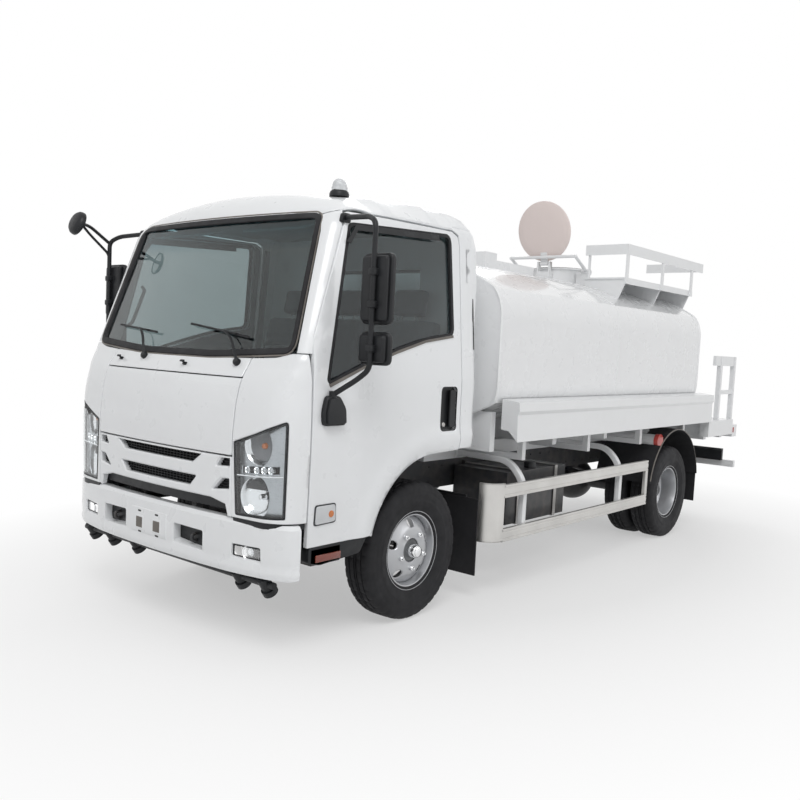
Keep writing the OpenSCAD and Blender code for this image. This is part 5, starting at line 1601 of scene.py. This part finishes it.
def soft(name, shape, cap, replaces=()):
    """A padded piece: the shape is swelled as cloth under a little pressure, within a cap."""
    obj = Piece(name, "cab", "seat_fabric", replaces).add(CLOTH, shape).done(60)
    scene = bpy.context.scene
    mod = obj.modifiers.new("voxels", "REMESH")
    mod.mode, mod.voxel_size, mod.use_smooth_shade = "VOXEL", 0.011, True
    apply_modifiers(obj)
    start = np.array([v.co[:] for v in obj.data.vertices])
    cloth = obj.modifiers.new("pad", "CLOTH")
    cloth.settings.use_pressure = True
    cloth.settings.uniform_pressure_force = 4
    cloth.settings.effector_weights.gravity = 0
    cloth.settings.tension_stiffness = cloth.settings.compression_stiffness = 12
    for k in range(1, 13):
        scene.frame_set(k)
    graph = bpy.context.evaluated_depsgraph_get()
    end = np.array([v.co[:] for v in obj.evaluated_get(graph).data.vertices])
    obj.modifiers.remove(cloth)
    scene.frame_set(1)
    move = end - start
    length = np.linalg.norm(move, axis=1, keepdims=True)
    move *= np.minimum(1, cap * MM / np.maximum(length, 1e-9))
    for v, co in zip(obj.data.vertices, start + move):
        v.co = co


def apply_modifiers(obj):
    graph = bpy.context.evaluated_depsgraph_get()
    mesh = bpy.data.meshes.new_from_object(obj.evaluated_get(graph))
    old = obj.data
    obj.modifiers.clear()
    obj.data = mesh
    bpy.data.meshes.remove(old)


def pad(low, high, crown, seams=(), tuck=10, steps=14):
    """A crowned cushion: its sides pull in between the corners, and sewn channels cross its top."""
    low, high = np.array(low, float), np.array(high, float)
    size = high - low
    bm = bmesh.new()
    bmesh.ops.create_cube(bm, size=2)
    bmesh.ops.subdivide_edges(bm, edges=bm.edges[:], cuts=steps, use_grid_fill=True)
    for v in bm.verts:
        a = np.array(v.co)
        r = np.abs(a)
        # Round the edges, then crown the faces
        corner = np.clip((np.roll(r, 1) ** 8 + np.roll(r, 2) ** 8) / 2, 0, 1)
        soft_edge = 0.86 + 0.14 * np.sqrt(np.clip(1 - corner, 0, 1))
        b = a * soft_edge
        b[2] += crown / size[2] * 2 * (1 - r[0] ** 2) * (1 - r[1] ** 2) * (1 if a[2] > 0.99 else 0)
        for k in (0, 1):
            if r[k] > 0.99:
                b[k] -= np.sign(a[k]) * tuck / size[k] * 2 * (1 - r[1 - k] ** 2) * (1 - r[2] ** 2)
        if a[2] > 0.99:
            for axis, at in seams:
                d = abs(a[axis] - at) * size[axis] / 2
                b[2] -= 2 * 9 / size[2] * math.exp(-(d / 14) ** 2)
        v.co = (low + high) / 2 + b * size / 2
    return from_bmesh(bm)


def stood_up(shape):
    """A pad that was made lying down, turned to stand with its crown to the front."""
    corners, faces = shape
    return corners[:, ::-1], [tuple(reversed(f)) for f in faces]


def make_seats():
    for name, y, width in SEATS:
        w = width / 2 - 4
        base = pad((SEAT_X + 26, y - w, SEAT_Z + 6), (SEAT_X + 464, y + w, SEAT_Z + 122), 10,
                   ((1, -0.56), (1, 0.56), (0, 0.1)))
        soft(name + "_cushion", base, 7, ["seats"] if name == "driver" else ())
        # The back is made lying down, then leaned 12 degrees past upright
        back = pad((0, -w, -104), (548, w, -10), 8, ((1, -0.56), (1, 0.56), (0, 0.0), (0, 0.45)))
        lean = lambda s: moved(turned(s, "Y", -12), SEAT_X, y, SEAT_Z + 100)
        soft(name + "_back", lean(moved(stood_up(back), 0, 0, 6)), 7)
        rest = pad((574, -112, -90), (734, 112, -20), 8, (), 6, 10)
        soft(name + "_headrest", lean(stood_up(rest)), 5)
        p = Piece(name + "_seat_frame", "cab", "steel")
        for dy in (-50, 50):
            p.add(STEEL, lean(moved(lathe([(0, 548), (6, 548), (6, 592), (0, 592)], "z", steps=12), -55,
                                    dy, 0)))
        p.add(DARK_TRIM, prism(rounded([(SEAT_X + 4, SEAT_Z + 1), (SEAT_X + 440, SEAT_Z + 1),
                                        (SEAT_X + 440, SEAT_Z + 18), (SEAT_X + 4, SEAT_Z + 40)], 6),
                               "y", y - w + 12, y + w - 12, 4))
        p.done()


def make_dashboard():
    """Trim over the CAD dashboard: vents, an instrument hood, a centre panel and the wheel's boss."""
    p = Piece("dashboard_trim", "cab", "cabin_plastic")
    hood = [(742, 1332), (905, 1374), (880, 1392), (790, 1388), (724, 1352)]
    p.add(DARK_TRIM, prism(rounded(hood, 12), "y", 320, 640, 8, 3))
    for y in (-560, -90, 90, 760):
        p.add(BLACK, turned(box((702, y - 56, 1262), (716, y + 56, 1310), 4), "Y", -30, (710, y, 1290)))
    p.add(DARK_TRIM, box((688, -60, 1130), (742, 240, 1240), 8))
    for k in range(3):
        p.add(MOULDING, moved(lathe([(0, -10), (13, -10), (15, 0), (15, 6), (0, 6)], "x", steps=20),
                              686, 10 + 46 * k, 1180))
    p.done()
    p = Piece("steering_wheel_boss", "cab", "cabin_plastic")
    p.add(DARK_TRIM, moved(turned(lathe([(0, 30), (30, 29), (52, 24), (62, 14), (62, 8), (0, 8)], "z",
                                        steps=32), "Y", -44.8), 596, 480, 1326))
    p.done()


make_tank_details()
make_side_guards()
make_underbody()
recolour()
make_seats()
make_dashboard()
